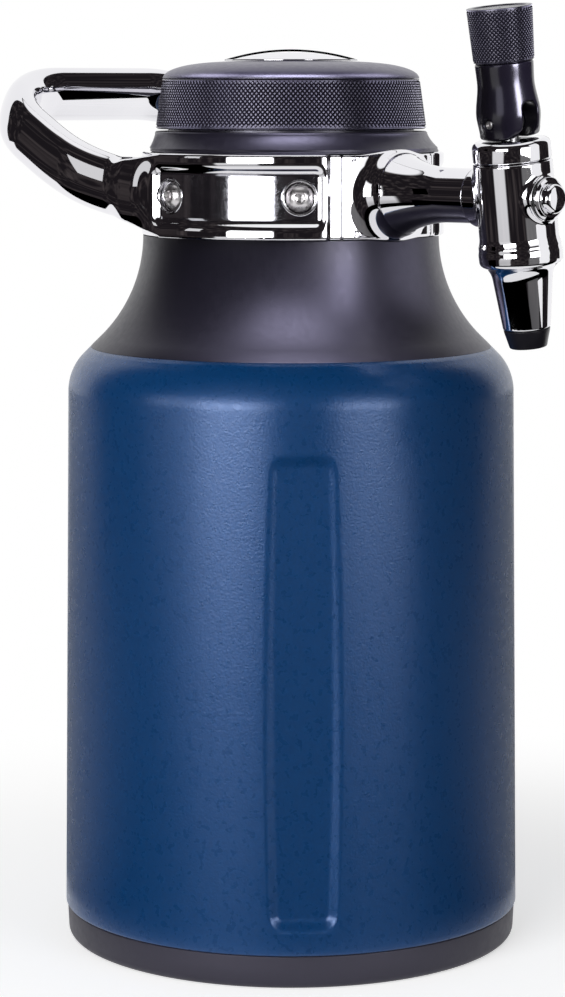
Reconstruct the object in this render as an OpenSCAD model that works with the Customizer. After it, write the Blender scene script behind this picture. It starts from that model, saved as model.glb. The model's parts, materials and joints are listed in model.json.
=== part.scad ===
// Insulated growler that keeps a drink under gas pressure: a double walled body, a clamped collar with
// a loop handle, a tap with a sprung valve, and a screw cap that carries a gas cartridge and a dial.
// Origin at the middle of the base, +Z up, +X towards the tap, millimetres.

/* [Body] */
// Radius of the body at its foot
body_r = 67.5; // [64:0.1:72]
// How much the body draws in from its foot to the shoulder
body_taper = 1.15; // [0:0.05:3]
// Radius of the round at the top of the body
shoulder_round = 15.5; // [13:0.1:17]
// Radius of the hollow curve from the shoulder up to the neck
neck_bend = 42.56; // [36:0.1:46]
// Where the cover's seam lies on the slope between the two, from 0 at the round to 1 at the hollow curve
seam_share = 0.41; // [0.2:0.01:0.8]
// Wall of the outer shell
shell_t = 1; // [0.6:0.1:1.2]
// Empty space between the outer shell and the inner vessel
vacuum_gap = 3.2; // [3:0.1:5]
// Wall of the inner vessel
liner_t = 0.9; // [0.6:0.1:1.5]
// Height of the underside of the inner vessel
liner_z = 10; // [6:0.5:20]
// Radius of the inner vessel's lower corner
liner_round = 8; // [4:0.5:15]
// Thickness of the shoulder cover
cover_t = 1.2; // [0.8:0.1:2]

/* [Boot] */
// Height of the boot
boot_h = 9.5; // [7:0.1:14]
// Wall of the boot
boot_wall = 1.6; // [1:0.1:3]
// Floor of the boot
boot_floor = 2.4; // [1.5:0.1:4]
// Round under the boot's edge
boot_round = 2; // [0.5:0.1:2.3]

/* [Grip panel] */
// Width of the pressed panel
panel_w = 20.6; // [14:0.2:26]
// Depth of the panel at its edge
panel_depth = 1.3; // [0.6:0.1:1.6]
// Width of the slope round the panel
panel_bevel = 2.5; // [1:0.1:3]
// Lower end of the panel
panel_z0 = 16.5; // [14:0.5:40]
// Upper end of the panel
panel_z1 = 150; // [100:0.5:152]
// Corner radius of the panel's floor
panel_corner = 3.5; // [1:0.1:5]
// Direction of the first panel, counted from the tap
panel_angle = -40; // [-90:1:90]

/* [Neck] */
// Radius of the cover where it meets the collar
neck_r = 44; // [43:0.1:45]
// Inner radius of the neck
neck_bore_r = 31; // [29:0.1:31.5]
// Wall of the neck
neck_wall = 4; // [3:0.1:4.2]
// Length of the neck below the collar
neck_tail = 12.8; // [8:0.1:20]
// Height of the neck's rim above the collar
neck_rise = 16.7; // [15.5:0.1:18]
// How far the collar's seat stands out from the neck
boss_step = 3; // [2:0.1:3.2]

/* [Collar] */
// Height of the collar's underside
collar_z = 208.8; // [207:0.1:214]
// Height of the collar
collar_h = 24.5; // [22:0.1:28]
// Outer radius of the collar
collar_r = 44.4; // [43.5:0.1:45]
// Outer radius of the pads on the collar's sides
pad_r = 45.5; // [45.1:0.1:47]
// Half of the angle that the tap saddle takes
saddle_angle = 23.7; // [20:0.1:26]
// Angle from the tap at which a pad starts; from the side of the neck it runs straight back
pad_start = 29; // [27:0.5:32]
// Angle from the tap at which a pocket starts
pocket_start = 30.5; // [29:0.5:33]
// How far a pocket runs back past the side of the neck
pocket_back = 10; // [9.5:0.5:12]
// Depth of the pockets
pocket_depth = 1.5; // [1:0.1:1.8]
// Rim above and below a pocket
pocket_rim = 4; // [3:0.1:6]
// Angle from the tap at which a front screw sits
screw_angle = 39.7; // [38:0.1:46]
// How far a rear screw sits behind the side of the neck
screw_back = 4; // [2:0.1:4.5]
// Radius of a screw's head
screw_head_r = 4; // [3:0.1:4.5]
// Radius of a screw's shank
screw_r = 2; // [1.5:0.1:2.5]
// Width across the flats of a screw's hex socket
screw_hex = 2.5; // [2:0.1:3]

/* [Handle] */
// Width of the handle's oval section
handle_w = 10.4; // [8:0.1:12]
// Height of the handle's oval section
handle_t = 18; // [14:0.1:20]
// Half of the distance between the handle's legs
handle_half = 44.5; // [43:0.1:47]
// Where the legs start to rise, behind the axis
leg_start = 8; // [4:0.5:14]
// Radius of the legs' upward sweep
leg_radius = 115; // [80:1:150]
// Slope at the end of that sweep
leg_slope = 28; // [15:1:35]
// Straight stretch between the sweep and the corner
leg_straight = 7; // [1:0.5:15]
// Radius of the handle's corners
handle_corner = 27; // [18:0.5:36]

/* [Trim] */
// Lower radius of the trim ring above the collar
trim_foot_r = 42.9; // [41.5:0.1:43.5]
// Upper radius of the trim ring
trim_top_r = 40.4; // [39.5:0.1:41]
// How far its foot is set towards the tap
trim_shift = 1.6; // [0:0.1:2]
// Height of the trim ring
trim_h = 6; // [4:0.1:6.3]
// Height of the lip that holds the neck
trim_lip = 2.4; // [1.5:0.1:2.6]

/* [Tap] */
// Distance of the faucet from the body's axis
tap_x = 91; // [82:0.5:110]
// Height of the shank above the collar's underside
tap_up = 13.2; // [12.5:0.1:14]
// How far the faucet is turned about its shank
tap_turn = 7.5; // [0:0.5:10]
// Radius of the shank
shank_r = 7.8; // [7.2:0.1:8.5]
// Radius of the shank's bore
shank_bore = 3.2; // [2:0.1:4]
// Radius of the shank's flare at the saddle
flare_r = 11.2; // [10:0.1:11.3]
// Radius of the flare's curve
flare_round = 20; // [12:0.5:25]
// Where the flare ends, from the body's axis
flare_end = 60; // [58:0.5:66]
// Radius of the threaded spigot that goes through the neck
spigot_r = 5.5; // [4.5:0.1:6]
// Radius of the faucet body
faucet_r = 11; // [10.5:0.1:12]
// Radius of the ring round the faucet's foot
faucet_ring_r = 11.3; // [11:0.1:12.2]
// Radius of the faucet's chamber
chamber_r = 7; // [6.8:0.1:7.4]
// Depth of the chamber below the shank
chamber_down = 12; // [11.5:0.1:13]
// Top of the faucet body above the shank
faucet_up = 10.3; // [10:0.1:12]
// Foot of the faucet body below the shank
faucet_down = 18; // [17:0.1:20]
// Radius at the top of the spout
spout_top_r = 8.3; // [7.5:0.1:9]
// Radius at the end of the spout
spout_end_r = 6.6; // [6:0.1:7.2]
// Bore of the spout
spout_bore = 4.2; // [3:0.1:4.6]
// Height of the cone between the faucet's foot and the spout
spout_cone = 4.6; // [3:0.1:6]
// Length of the spout
spout_len = 14; // [10:0.1:25]
// Length of the spout's tip
tip_len = 5.3; // [3:0.1:8]
// Radius at the end of the tip
tip_end_r = 5.3; // [5:0.1:5.8]
// Radius of the ring that joins the shank and the faucet
joint_ring_r = 8.8; // [8.6:0.1:9.5]
// Length of that ring outside the faucet body
joint_ring_len = 2.2; // [1:0.1:4]
// Radius of the front plug's flange
plug_r = 6.3; // [5.5:0.1:7]
// Radius of the front plug's thread
plug_thread_r = 3.9; // [3:0.1:4.5]
// Radius of the front plug's head
plug_head_r = 4; // [3:0.1:4.6]
// Height of the bonnet above the faucet body
bonnet_h = 6; // [5:0.1:8]
// Radius of the bonnet
bonnet_r = 10.9; // [10:0.1:12]

/* [Valve and lever] */
// Radius of the valve stem
stem_r = 2.4; // [2:0.1:2.6]
// Height of the lever's pin above the hub's underside
pin_up = 4.6; // [4.3:0.1:5.5]
// Radius of the lever's pin
pin_r = 1.2; // [1:0.1:1.7]
// Radius of the eye on the stem
eye_r = 3.2; // [2.8:0.1:3.4]
// Thickness of the eye
eye_t = 5.2; // [5.1:0.1:5.5]
// Height of the slot in the hub
slot_h = 10.4; // [9:0.1:12]
// Radius of the hub's foot
hub_foot_r = 8.3; // [7.6:0.1:8.6]
// Round under the hub's foot
hub_round = 1.8; // [1:0.1:2.2]
// Where the cam slope under the hub's front starts, from its axis
cam_x = 4; // [3:0.1:4.2]
// Angle of that slope
cam_slope = 34; // [32:1:45]
// Largest radius of the hub
hub_bulge_r = 8.9; // [8:0.1:9.2]
// Smallest radius of the hub
hub_waist_r = 7.9; // [7.2:0.1:8.4]
// Height of the hub's largest radius above its foot
hub_bulge_up = 6.8; // [5:0.1:8]
// Height of its smallest radius above its foot
hub_waist_up = 15.5; // [12:0.1:17]
// Radius at the top of the hub
hub_top_r = 8.1; // [7.4:0.1:8.4]
// Height of the hub
hub_h = 21.1; // [18:0.1:30]
// Radius of the spigot in the grip
grip_spigot_r = 4; // [3:0.1:5]
// Length of that spigot
grip_spigot = 9; // [6:0.1:12]
// Radius at the foot of the grip
grip_foot_r = 8.4; // [7.6:0.1:9]
// Radius at the top of the grip
grip_top_r = 9.1; // [8:0.1:11]
// Height of the grip
grip_h = 15.3; // [13:0.1:25]
// Wire radius of the stem's spring
stem_wire = 0.6; // [0.4:0.05:0.7]

/* [Dip tube] */
// Radius of the dip tube
dip_r = 4; // [3.4:0.1:4.4]
// Wall of the dip tube
dip_wall = 1; // [0.6:0.1:1.2]
// Distance of the dip tube from the body's axis
dip_x = 18; // [17.5:0.1:18.5]
// Room between the dip tube and the floor of the inner vessel
dip_gap = 7; // [3:0.5:15]
// Radius of the elbow's body
elbow_r = 6.5; // [6.3:0.1:6.8]

/* [Cap and dial] */
// Wall of the cap's skirt
skirt_t = 1.2; // [0.9:0.1:1.3]
// Thickness of the cap's top
cap_top_t = 2.7; // [2:0.1:4]
// Thickness of the cap's gasket
gasket_t = 1.5; // [1:0.1:2]
// Radius at the foot of the dial's ring
ring_foot_r = 40.2; // [39:0.1:41]
// Radius at the top of the dial's ring
ring_top_r = 38.2; // [38:0.1:40]
// Height of the dial's ring
ring_h = 14.8; // [13:0.1:15.2]
// Height of the crown over the ring
crown_h = 5.2; // [4.6:0.1:7]
// Radius of the badge
badge_r = 19.7; // [12:0.1:24]
// Height of the badge
badge_h = 4.3; // [2:0.1:6]
// Radius of the adjusting screw
adjust_r = 4; // [3:0.1:5]
// Length of the adjusting screw's end in the crown
adjust_end = 2.3; // [2:0.1:2.6]

/* [Gas side] */
// Thickness of the regulator's flange
flange_t = 1.5; // [1:0.1:2]
// Radius of the regulator's body
regulator_r = 22; // [16:0.1:22.5]
// Height of the regulator's body below its flange
regulator_h = 21.7; // [21.4:0.1:22]
// Radius of the spring chamber
spring_bore = 9; // [7:0.1:10]
// Depth of the spring chamber below the flange
spring_down = 8.7; // [8:0.1:9]
// Wire radius of the regulator's spring
spring_wire = 0.6; // [0.4:0.05:0.65]
// Thickness of the diaphragm
diaphragm_t = 0.8; // [0.5:0.1:1]
// Thickness of the spring seat
seat_t = 1.5; // [1:0.1:1.8]
// Radius of the gas cartridge
cartridge_r = 9.15; // [8:0.05:9.5]
// Length of the gas cartridge
cartridge_len = 65.5; // [55:0.5:66]
// Radius of the cartridge's neck
cartridge_neck_r = 4.4; // [3.5:0.1:4.6]
// Wall of the cartridge sleeve
sleeve_t = 1.8; // [1:0.1:2]
// Depth of the sleeve's thread in the regulator
sleeve_thread = 6; // [4:0.1:6.4]
// Radius of the relief valve
relief_r = 3; // [2:0.1:3.2]
// Length of the relief valve
relief_len = 9.4; // [6:0.1:10]

/* [Fits] */
// Gap between pieces that are clamped together
seat_gap = 0.1; // [0.05:0.01:0.15]
// Gap round a shaft that turns or slides
run_gap = 0.05; // [0.03:0.01:0.1]
// Gap between parts that move past each other
free_gap = 0.35; // [0.3:0.05:0.4]

/* [Hidden] */
$fn = 96;
diagonal = sqrt(2) - 1;

// Body and neck
flare_z = collar_z - seat_gap;
shoulder_r = body_r - body_taper;
slope_foot_r = shoulder_r - shoulder_round * (1 - cos(45));
least_slope = 1.5;
neck_curve = min(neck_bend, (slope_foot_r - least_slope - neck_r) / (1 - cos(45)));
slope_top_r = neck_r + neck_curve * (1 - cos(45));
shoulder_sum = neck_r + flare_z - diagonal * neck_curve;
shoulder_z = shoulder_sum - shoulder_r - diagonal * shoulder_round;
seam_z = shoulder_sum - slope_foot_r - (slope_top_r - slope_foot_r) * seam_share;
cover_in = cover_t + seat_gap;
rim_r = body_r - boot_wall - seat_gap;
rim_z = boot_floor + seat_gap;
neck_out_r = neck_bore_r + neck_wall;
boss_r = neck_out_r + boss_step;
liner_neck_r = neck_out_r + seat_gap + liner_t;
liner_r = shoulder_r - shell_t - vacuum_gap;
collar_top = collar_z + collar_h;
neck_top = collar_top + neck_rise;
lip_t = 1.2;

// Grip panel
panel_edge_x = sqrt(body_r * body_r - panel_w * panel_w / 4);
panel_floor_x = panel_edge_x - panel_depth;
panel_out_x = body_r + 1;

// Collar
collar_bore_r = boss_r + seat_gap;
pocket_floor_r = pad_r - pocket_depth;
flat_in = 0.3;
pad_end = 100;
counterbore_r = screw_head_r + 1.35;
counterbore_d = 1.4;
screw_z = collar_z + collar_h / 2;
screw_bite = 3.5;

// Tap, in its own frame: the shank's axis is at height 0 and the faucet's axis at 0
tap_z = collar_z + tap_up;
joint_x = -faucet_r - joint_ring_len;
spout_top_z = -faucet_down - spout_cone;
spout_end_z = spout_top_z - spout_len;
bonnet_z = faucet_up + seat_gap;
bonnet_top = bonnet_z + bonnet_h;
bonnet_plug = 3.8;
hub_z = bonnet_top + 0.3;
pin_z = hub_z + pin_up;
pin_room = 0.02;
hub_top = hub_z + hub_h;
stem_collar_z = -7;
stem_collar_t = 1.5;
stem_collar_out = 2.6;
stem_foot = 1 - chamber_down;
stem_foot_h = 2;
stem_foot_r = stem_r - 0.6;
stem_bed = 0.9;
seal_z = bonnet_z + 1.7;
seal_t = 1.8;
seal_r = stem_r + 1.8;
o_ring_r = chamber_r + 1.2;
o_ring_t = 1;
plug_seat_x = faucet_r + 0.4;
plug_washer = 0.5;

// Shank fixing inside the neck
nut_face_x = neck_bore_r - 1.4;
washer_t = 1.3;
nut_t = 4.9;
nut_r = 8.6;
nut_x = nut_face_x - washer_t - 2 * seat_gap - nut_t;
elbow_x1 = nut_x - seat_gap;
elbow_x0 = dip_x - dip_r - seat_gap - 0.9;
spigot_x = dip_x + 0.5;
elbow_stub = 13;
dip_top = tap_z - elbow_r + 0.3;
dip_end = liner_z + liner_t + dip_gap;

// Cap, gas side and dial, upwards from the neck's rim
gasket_z = neck_top + seat_gap;
flange_z = gasket_z + gasket_t + seat_gap;
flange_top = flange_z + flange_t;
cap_in_z = flange_top + seat_gap;
cap_top = cap_in_z + cap_top_t;
skirt_r = neck_out_r + free_gap;
cap_r = skirt_r + skirt_t;
skirt_z = collar_top + seat_gap + trim_lip + free_gap;
flange_r = skirt_r - 0.8;
ring_bore_r = cap_r + free_gap;
crown_in_z = cap_top + 0.3;
ring_top = cap_top - 1.1;
ring_z = ring_top - ring_h;
crown_z = ring_top + seat_gap;
crown_r = ring_top_r - 0.1;
crown_top = crown_z + crown_h;
regulator_z = flange_z - regulator_h;
spring_floor = flange_z - spring_down;
socket_top = regulator_z + sleeve_thread;
sleeve_in_r = cartridge_r + free_gap;
sleeve_r = sleeve_in_r + sleeve_t;
cartridge_top = socket_top + 0.5;
cartridge_z = cartridge_top - cartridge_len;
sleeve_floor = 1.8;
sleeve_z = cartridge_z - sleeve_floor - free_gap;
seal_bore = cartridge_neck_r + 0.2;
seal_up = 2.2;
pierce_r = 1.2;
seat_top = cap_in_z - 3;
relief_x = -regulator_r + relief_r + 3;

// Shapes that several pieces share

function arc(cx, cy, r, a0, a1, n) =
    [for (i = [0:n]) let (a = a0 + (a1 - a0) * i / n) [cx + r * cos(a), cy + r * sin(a)]];

function reversed(list) = [for (i = [len(list) - 1:-1:0]) list[i]];

function smooth(t) = t * t * (3 - 2 * t);

// Points from one radius and height to another along a smooth swell
function swell(r0, z0, r1, z1, n) =
    [for (i = [0:n]) [r0 + (r1 - r0) * smooth(i / n), z0 + (z1 - z0) * i / n]];

// The round at the top of the body, set in from its surface
function body_round(inset) =
    arc(shoulder_r - shoulder_round, shoulder_z, shoulder_round - inset, 0, 45, 8);

// The hollow curve up to the collar, set in from the cover's surface, stopping short of its top
function neck_flare(inset, short = 0) =
    arc(neck_r + neck_curve, flare_z, neck_curve + inset, 225, 180 + asin(short / neck_curve), 14);

// A point on the straight slope between the two curves
function seam_point(inset) =
    [shoulder_sum - seam_z - inset * sin(45), seam_z - inset * sin(45)];

module turned(points) {
    rotate_extrude() polygon(points);
}

module tube(r_out, r_in, z0, z1) {
    translate([0, 0, z0]) difference() {
        cylinder(r = r_out, h = z1 - z0);
        translate([0, 0, -1]) cylinder(r = r_in, h = z1 - z0 + 2);
    }
}

module rod(r, z0, z1) {
    translate([0, 0, z0]) cylinder(r = r, h = z1 - z0);
}

module rod_x(r, x0, x1) {
    translate([x0, 0, 0]) rotate([0, 90, 0]) cylinder(r = r, h = x1 - x0);
}

module rod_y(r, half) {
    rotate([90, 0, 0]) cylinder(r = r, h = 2 * half, center = true);
}

module sector(r_in, r_out, z0, z1, a0, a1) {
    rotate([0, 0, a0]) rotate_extrude(angle = a1 - a0) translate([r_in, z0]) square([r_out - r_in, z1 - z0]);
}

module both_sides() {
    children();
    mirror([0, 1, 0]) children();
}

// Places a piece that is drawn in the tap's frame
module at_tap() {
    translate([tap_x, 0, tap_z]) rotate([tap_turn, 0, 0]) children();
}

// Places a piece that is drawn outwards along X at each collar screw
module at_screws() {
    both_sides() translate([0, 0, screw_z]) {
        rotate([0, 0, screw_angle]) children();
        translate([-screw_back, 0, 0]) rotate([0, 0, 90]) children();
    }
}

// One unbroken wire that winds up from z0 to z1
module coil(r, wire, z0, z1, turns) {
    per_turn = 12;
    sides = 6;
    last = turns * per_turn;
    middle = [for (i = [0:last]) let (a = 360 * i / per_turn)
        [r * cos(a), r * sin(a), z0 + (z1 - z0) * i / last]];
    echo(least_gap = min([for (i = [0:last - per_turn]) norm(middle[i + per_turn] - middle[i])]) - 2 * wire);
    points = [for (i = [0:last]) for (k = [0:sides - 1]) let (a = 360 * i / per_turn, b = 360 * k / sides)
        middle[i] + wire * [cos(b) * cos(a), cos(b) * sin(a), sin(b)]];
    walls = [for (i = [0:last - 1]) for (k = [0:sides - 1])
        let (p = i * sides + k, q = i * sides + (k + 1) % sides)
        each [[p, p + sides, q], [q, p + sides, q + sides]]];
    first_cap = [for (k = [1:sides - 2]) [0, k, k + 1]];
    last_cap = [for (k = [1:sides - 2]) [last * sides, last * sides + k + 1, last * sides + k]];
    polyhedron(points, concat(walls, first_cap, last_cap));
}

// Body

module base_boot() {
    color("#1b1b1d") turned(concat(
        [[0, 0]],
        arc(body_r - boot_round, boot_round, boot_round, -90, 0, 6),
        [[body_r, boot_h], [body_r - boot_wall, boot_h], [body_r - boot_wall, boot_floor], [0, boot_floor]]
    ));
}

// The space of the pressed panels, grown by the shell's wall for their inner face
module panel_space(grow) {
    slope = panel_bevel / panel_depth;
    floor_x = panel_floor_x - grow;
    floor_half = panel_w / 2 - panel_bevel + grow - panel_corner;
    levels = [[floor_x, 0], [panel_out_x, (panel_out_x - floor_x) * slope]];
    for (turn = [panel_angle, panel_angle + 180]) rotate([0, 0, turn]) hull()
        for (level = levels, side = [-1, 1])
            for (z = [panel_z0 + panel_bevel + panel_corner, panel_z1 - panel_bevel - panel_corner])
                translate([level[0], side * floor_half, z])
                    rotate([0, 90, 0]) cylinder(r = panel_corner + level[1] + grow / 2, h = 0.01, $fn = 32);
}

module outer_shell() {
    inner_z = boot_h + 2;
    outside = concat(
        [[0, rim_z], [rim_r, rim_z], [rim_r, boot_h], [body_r, boot_h]],
        body_round(0),
        [seam_point(0), seam_point(cover_in)],
        neck_flare(cover_in),
        [[0, flare_z]]
    );
    inside = concat(
        [[0, rim_z - 1], [rim_r - shell_t, rim_z - 1], [rim_r - shell_t, inner_z - 1]],
        [[body_r - 2 * shell_t, inner_z], [shoulder_r - shell_t, shoulder_z - 6]],
        body_round(cover_in + shell_t),
        neck_flare(cover_in + shell_t, lip_t),
        [[0, flare_z - lip_t]]
    );
    color("#12335c") difference() {
        turned(outside);
        panel_space(0);
        difference() {
            turned(inside);
            panel_space(shell_t);
        }
        rod(liner_neck_r + seat_gap, flare_z - 2 * lip_t, flare_z + 1);
    }
}

module vessel_floor() {
    color("silver") rod(rim_r - shell_t - seat_gap, rim_z + 1, rim_z + 1 + shell_t);
}

module inner_vessel() {
    outer_neck = neck_r - liner_neck_r;
    outside = concat(
        [[0, liner_z]],
        arc(liner_r - liner_round, liner_z + liner_round, liner_round, -90, 0, 8),
        body_round(shoulder_r - liner_r),
        neck_flare(outer_neck)
    );
    inside = concat(
        [[0, liner_z + liner_t]],
        arc(liner_r - liner_round, liner_z + liner_round, liner_round - liner_t, -90, 0, 8),
        body_round(shoulder_r - liner_r + liner_t),
        neck_flare(outer_neck + liner_t)
    );
    color("silver") turned(concat(outside, reversed(inside)));
}

module shoulder_cover() {
    color("#222226") turned(concat(
        [seam_point(0)],
        neck_flare(0),
        reversed(neck_flare(cover_t)),
        [seam_point(cover_t)]
    ));
}

module neck_ring() {
    color("silver") difference() {
        union() {
            tube(neck_out_r, neck_bore_r, collar_z - neck_tail, neck_top);
            tube(boss_r, neck_bore_r, collar_z, collar_top);
            translate([0, 0, tap_z]) rod_x(nut_r + 0.4, nut_face_x, neck_out_r);
        }
        translate([0, 0, tap_z]) rod_x(spigot_r + seat_gap, nut_face_x - 1, boss_r + 1);
        at_screws() rod_x(screw_r, boss_r - screw_bite, boss_r + 1);
    }
}

module neck_trim_ring() {
    foot = collar_top + seat_gap;
    edge = 0.8;
    color("#18181a") difference() {
        union() {
            translate([trim_shift, 0, foot]) cylinder(r = trim_foot_r, h = edge);
            hull() {
                translate([trim_shift, 0, foot + edge / 2]) cylinder(r = trim_foot_r - edge, h = edge, $fn = 64);
                translate([0, 0, foot + trim_h - edge]) cylinder(r = trim_top_r, h = edge, $fn = 64);
            }
        }
        rod(neck_out_r + seat_gap, foot - 1, foot + trim_h);
        rod(cap_r + free_gap, foot + trim_lip, foot + trim_h + 1);
    }
}

// Collar and handle

module handle_section(along_x, inset = 0) {
    end_r = handle_w / 2 - inset;
    reach = (handle_t - handle_w) / 2;
    turn = along_x ? 90 : 0;
    rotate(turn) {
        translate([0, reach]) circle(r = end_r);
        translate([0, -reach]) circle(r = end_r);
        square([2 * end_r, 2 * reach], center = true);
    }
}

// One leg's sweep upwards, from the web at the collar to the slope of the loop
module leg_sweep() {
    begin = 5;
    translate([-leg_start, handle_half, screw_z + leg_radius]) rotate([-90, 90, 0]) rotate([0, 0, begin])
        rotate_extrude(angle = leg_slope - begin) translate([leg_radius, 0]) handle_section(true);
}

// Half of the loop in its sloped plane: straight stretch, corner and half of the bar. The loop is a
// hair slimmer than the sweep, and its straight starts inside the sweep
module loop_half() {
    slim = 0.02;
    lap = 0.5;
    bar_half = handle_half - handle_corner;
    translate([-lap, handle_half, 0])
        rotate([90, 0, 90]) linear_extrude(leg_straight + lap) handle_section(false, slim);
    translate([leg_straight, bar_half, 0])
        rotate_extrude(angle = 90) translate([handle_corner, 0]) handle_section(false, slim);
    translate([leg_straight + handle_corner, bar_half, 0])
        rotate([90, 0, 0]) linear_extrude(bar_half) handle_section(false, slim);
}

// Where a leg grows out of the collar's side: a web that carries the pad straight back and tapers from
// the collar's height to the leg's
module leg_root() {
    taper_to = 9;
    back = leg_start + leg_radius * sin(taper_to);
    rise = leg_radius * (1 - cos(taper_to));
    half = handle_t / 2 - 0.6;
    web_y = pad_r - flat_in;
    web_t = web_y - collar_bore_r - 0.8;
    translate([0, web_y, 0]) rotate([90, 0, 0]) linear_extrude(web_t) polygon([
        [0, collar_z], [0, collar_top], [-leg_start, collar_top], [-back, screw_z + rise + half],
        [-back, screw_z + rise - half], [-leg_start, collar_z]
    ]);
}

module handle_loop() {
    loop_x = -leg_start - leg_radius * sin(leg_slope);
    loop_z = screw_z + leg_radius * (1 - cos(leg_slope));
    both_sides() leg_root();
    both_sides() leg_sweep();
    translate([loop_x, 0, loop_z]) rotate([0, leg_slope, 0]) rotate([0, 0, 180]) both_sides() loop_half();
}

module handle_collar() {
    joint = saddle_angle + seat_gap;
    far = pad_r + handle_w;
    color("#c8ccd0") difference() {
        union() {
            sector(collar_bore_r, collar_r, collar_z, collar_top, joint, 360 - joint);
            both_sides() sector(collar_bore_r + 2, pad_r, collar_z, collar_top, pad_start, pad_end);
            handle_loop();
        }
        both_sides() {
            sector(pocket_floor_r, far, collar_z + pocket_rim, collar_top - pocket_rim, pocket_start, pad_end);
            translate([-pocket_back, pocket_floor_r - flat_in, collar_z + pocket_rim])
                cube([pocket_back - screw_back, far - pocket_floor_r, collar_h - 2 * pocket_rim]);
        }
        at_screws() {
            rod_x(counterbore_r, pocket_floor_r - counterbore_d, far);
            rod_x(screw_r + seat_gap, boss_r - 1, far);
        }
    }
}

module collar_screws() {
    tail = boss_r - screw_bite + 0.2;
    under = pocket_floor_r - counterbore_d + seat_gap / 2;
    head_h = 2.2;
    dome = (screw_head_r * screw_head_r + head_h * head_h) / (2 * head_h);
    rim = asin((dome - head_h) / dome);
    color("#d5d7d9") at_screws() difference() {
        rotate([0, 90, 0]) turned(concat(
            [[0, tail], [screw_r - seat_gap / 2, tail], [screw_r - seat_gap / 2, under]],
            arc(0, under + head_h - dome, dome, rim, 90, 6)
        ));
        translate([under + head_h / 3, 0, 0]) rotate([0, 90, 0])
            cylinder(r = screw_hex / sqrt(3), h = head_h, $fn = 6);
    }
}

// Tap saddle and the way of the drink

module tap_saddle() {
    shank_end = tap_x + joint_x - seat_gap;
    curve_to = acos((flare_round + shank_r - flare_r) / flare_round);
    flare_x = collar_bore_r + 1.9;
    flare = concat(
        [[0, flare_x], [flare_r, flare_x]],
        arc(shank_r + flare_round, flare_end, flare_round, 180 + curve_to, 180, 10),
        [[shank_r, shank_end], [0, shank_end]]
    );
    color("#c8ccd0") difference() {
        union() {
            sector(collar_bore_r, collar_r, collar_z, collar_top, -saddle_angle, saddle_angle);
            translate([0, 0, tap_z]) {
                rotate([0, 90, 0]) turned(flare);
                rod_x(spigot_r, spigot_x, flare_x + 1);
            }
        }
        translate([0, 0, tap_z]) rod_x(shank_bore, spigot_x - 1, shank_end + 1);
    }
}

module shank_gasket() {
    color("#202020") translate([0, 0, tap_z]) rotate([0, 90, 0])
        tube(nut_r, spigot_r + seat_gap, nut_face_x - seat_gap - washer_t, nut_face_x - seat_gap);
}

module shank_nut() {
    color("silver") translate([0, 0, tap_z]) difference() {
        translate([nut_x, 0, 0]) rotate([0, 90, 0]) cylinder(r = nut_r, h = nut_t, $fn = 6);
        rod_x(spigot_r + seat_gap, nut_x - 1, nut_x + nut_t + 1);
    }
}

module dip_tube_elbow() {
    color("silver") translate([0, 0, tap_z]) difference() {
        union() {
            rod_x(elbow_r, elbow_x0, elbow_x1);
            translate([dip_x, 0, 0]) rod(dip_r + seat_gap + 0.8, -elbow_stub, 0);
        }
        rod_x(spigot_r + seat_gap, spigot_x - seat_gap, elbow_x1 + 1);
        rod_x(shank_bore, dip_x - shank_bore, elbow_x1);
        translate([dip_x, 0, 0]) {
            rod(dip_r + seat_gap, -elbow_stub - 1, dip_top - tap_z + seat_gap);
            rod(shank_bore, -elbow_stub, 0);
        }
    }
}

module dip_tube() {
    color("silver") translate([dip_x, 0, 0]) tube(dip_r, dip_r - dip_wall, dip_end, dip_top);
}

// Faucet

module faucet_body() {
    ring_h = 3.2;
    outside = [
        [0, spout_end_z], [spout_end_r, spout_end_z], [spout_top_r, spout_top_z],
        [faucet_r - 1.2, -faucet_down], [faucet_ring_r, -faucet_down + 0.6],
        [faucet_ring_r, -faucet_down + ring_h], [faucet_r, -faucet_down + ring_h + 0.6],
        [faucet_r, faucet_up], [0, faucet_up]
    ];
    color("#c8ccd0") at_tap() difference() {
        union() {
            turned(outside);
            rod_x(joint_ring_r, joint_x, 0);
            rod_x(plug_r, 0, plug_seat_x);
        }
        rod(chamber_r, -chamber_down, faucet_up + 1);
        rod(o_ring_r, faucet_up - o_ring_t, faucet_up + 1);
        rod(spout_bore, spout_end_z - 1, 0);
        rod_x(shank_bore, joint_x - 1, 0);
        rod_x(plug_thread_r + seat_gap, 0, plug_seat_x + 1);
    }
}

module spout_tip() {
    top = spout_end_z - seat_gap;
    end = top - tip_len;
    color("#151515") at_tap() turned([
        [spout_bore, end], [tip_end_r, end], [spout_end_r, top - tip_len / 5], [spout_end_r, top], [spout_bore, top]
    ]);
}

module front_plug() {
    face = plug_seat_x + plug_washer + 2 * seat_gap;
    ring_t = 1.2;
    head = 2.6;
    color("#c8ccd0") at_tap() rotate([0, 90, 0]) turned(concat(
        [[0, chamber_r + 0.4], [plug_thread_r, chamber_r + 0.4], [plug_thread_r, face]],
        [[plug_r, face], [plug_r, face + ring_t / 2], [plug_head_r + 0.3, face + ring_t]],
        arc(plug_head_r - 1.4, face + ring_t + head - 1.4, 1.4, 0, 90, 6),
        [[0, face + ring_t + head + 0.3]]
    ));
}

module plug_o_ring() {
    color("#151515") at_tap() rotate([0, 90, 0])
        tube(plug_r - 0.5, plug_thread_r + seat_gap, plug_seat_x + seat_gap, plug_seat_x + seat_gap + plug_washer);
}

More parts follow.
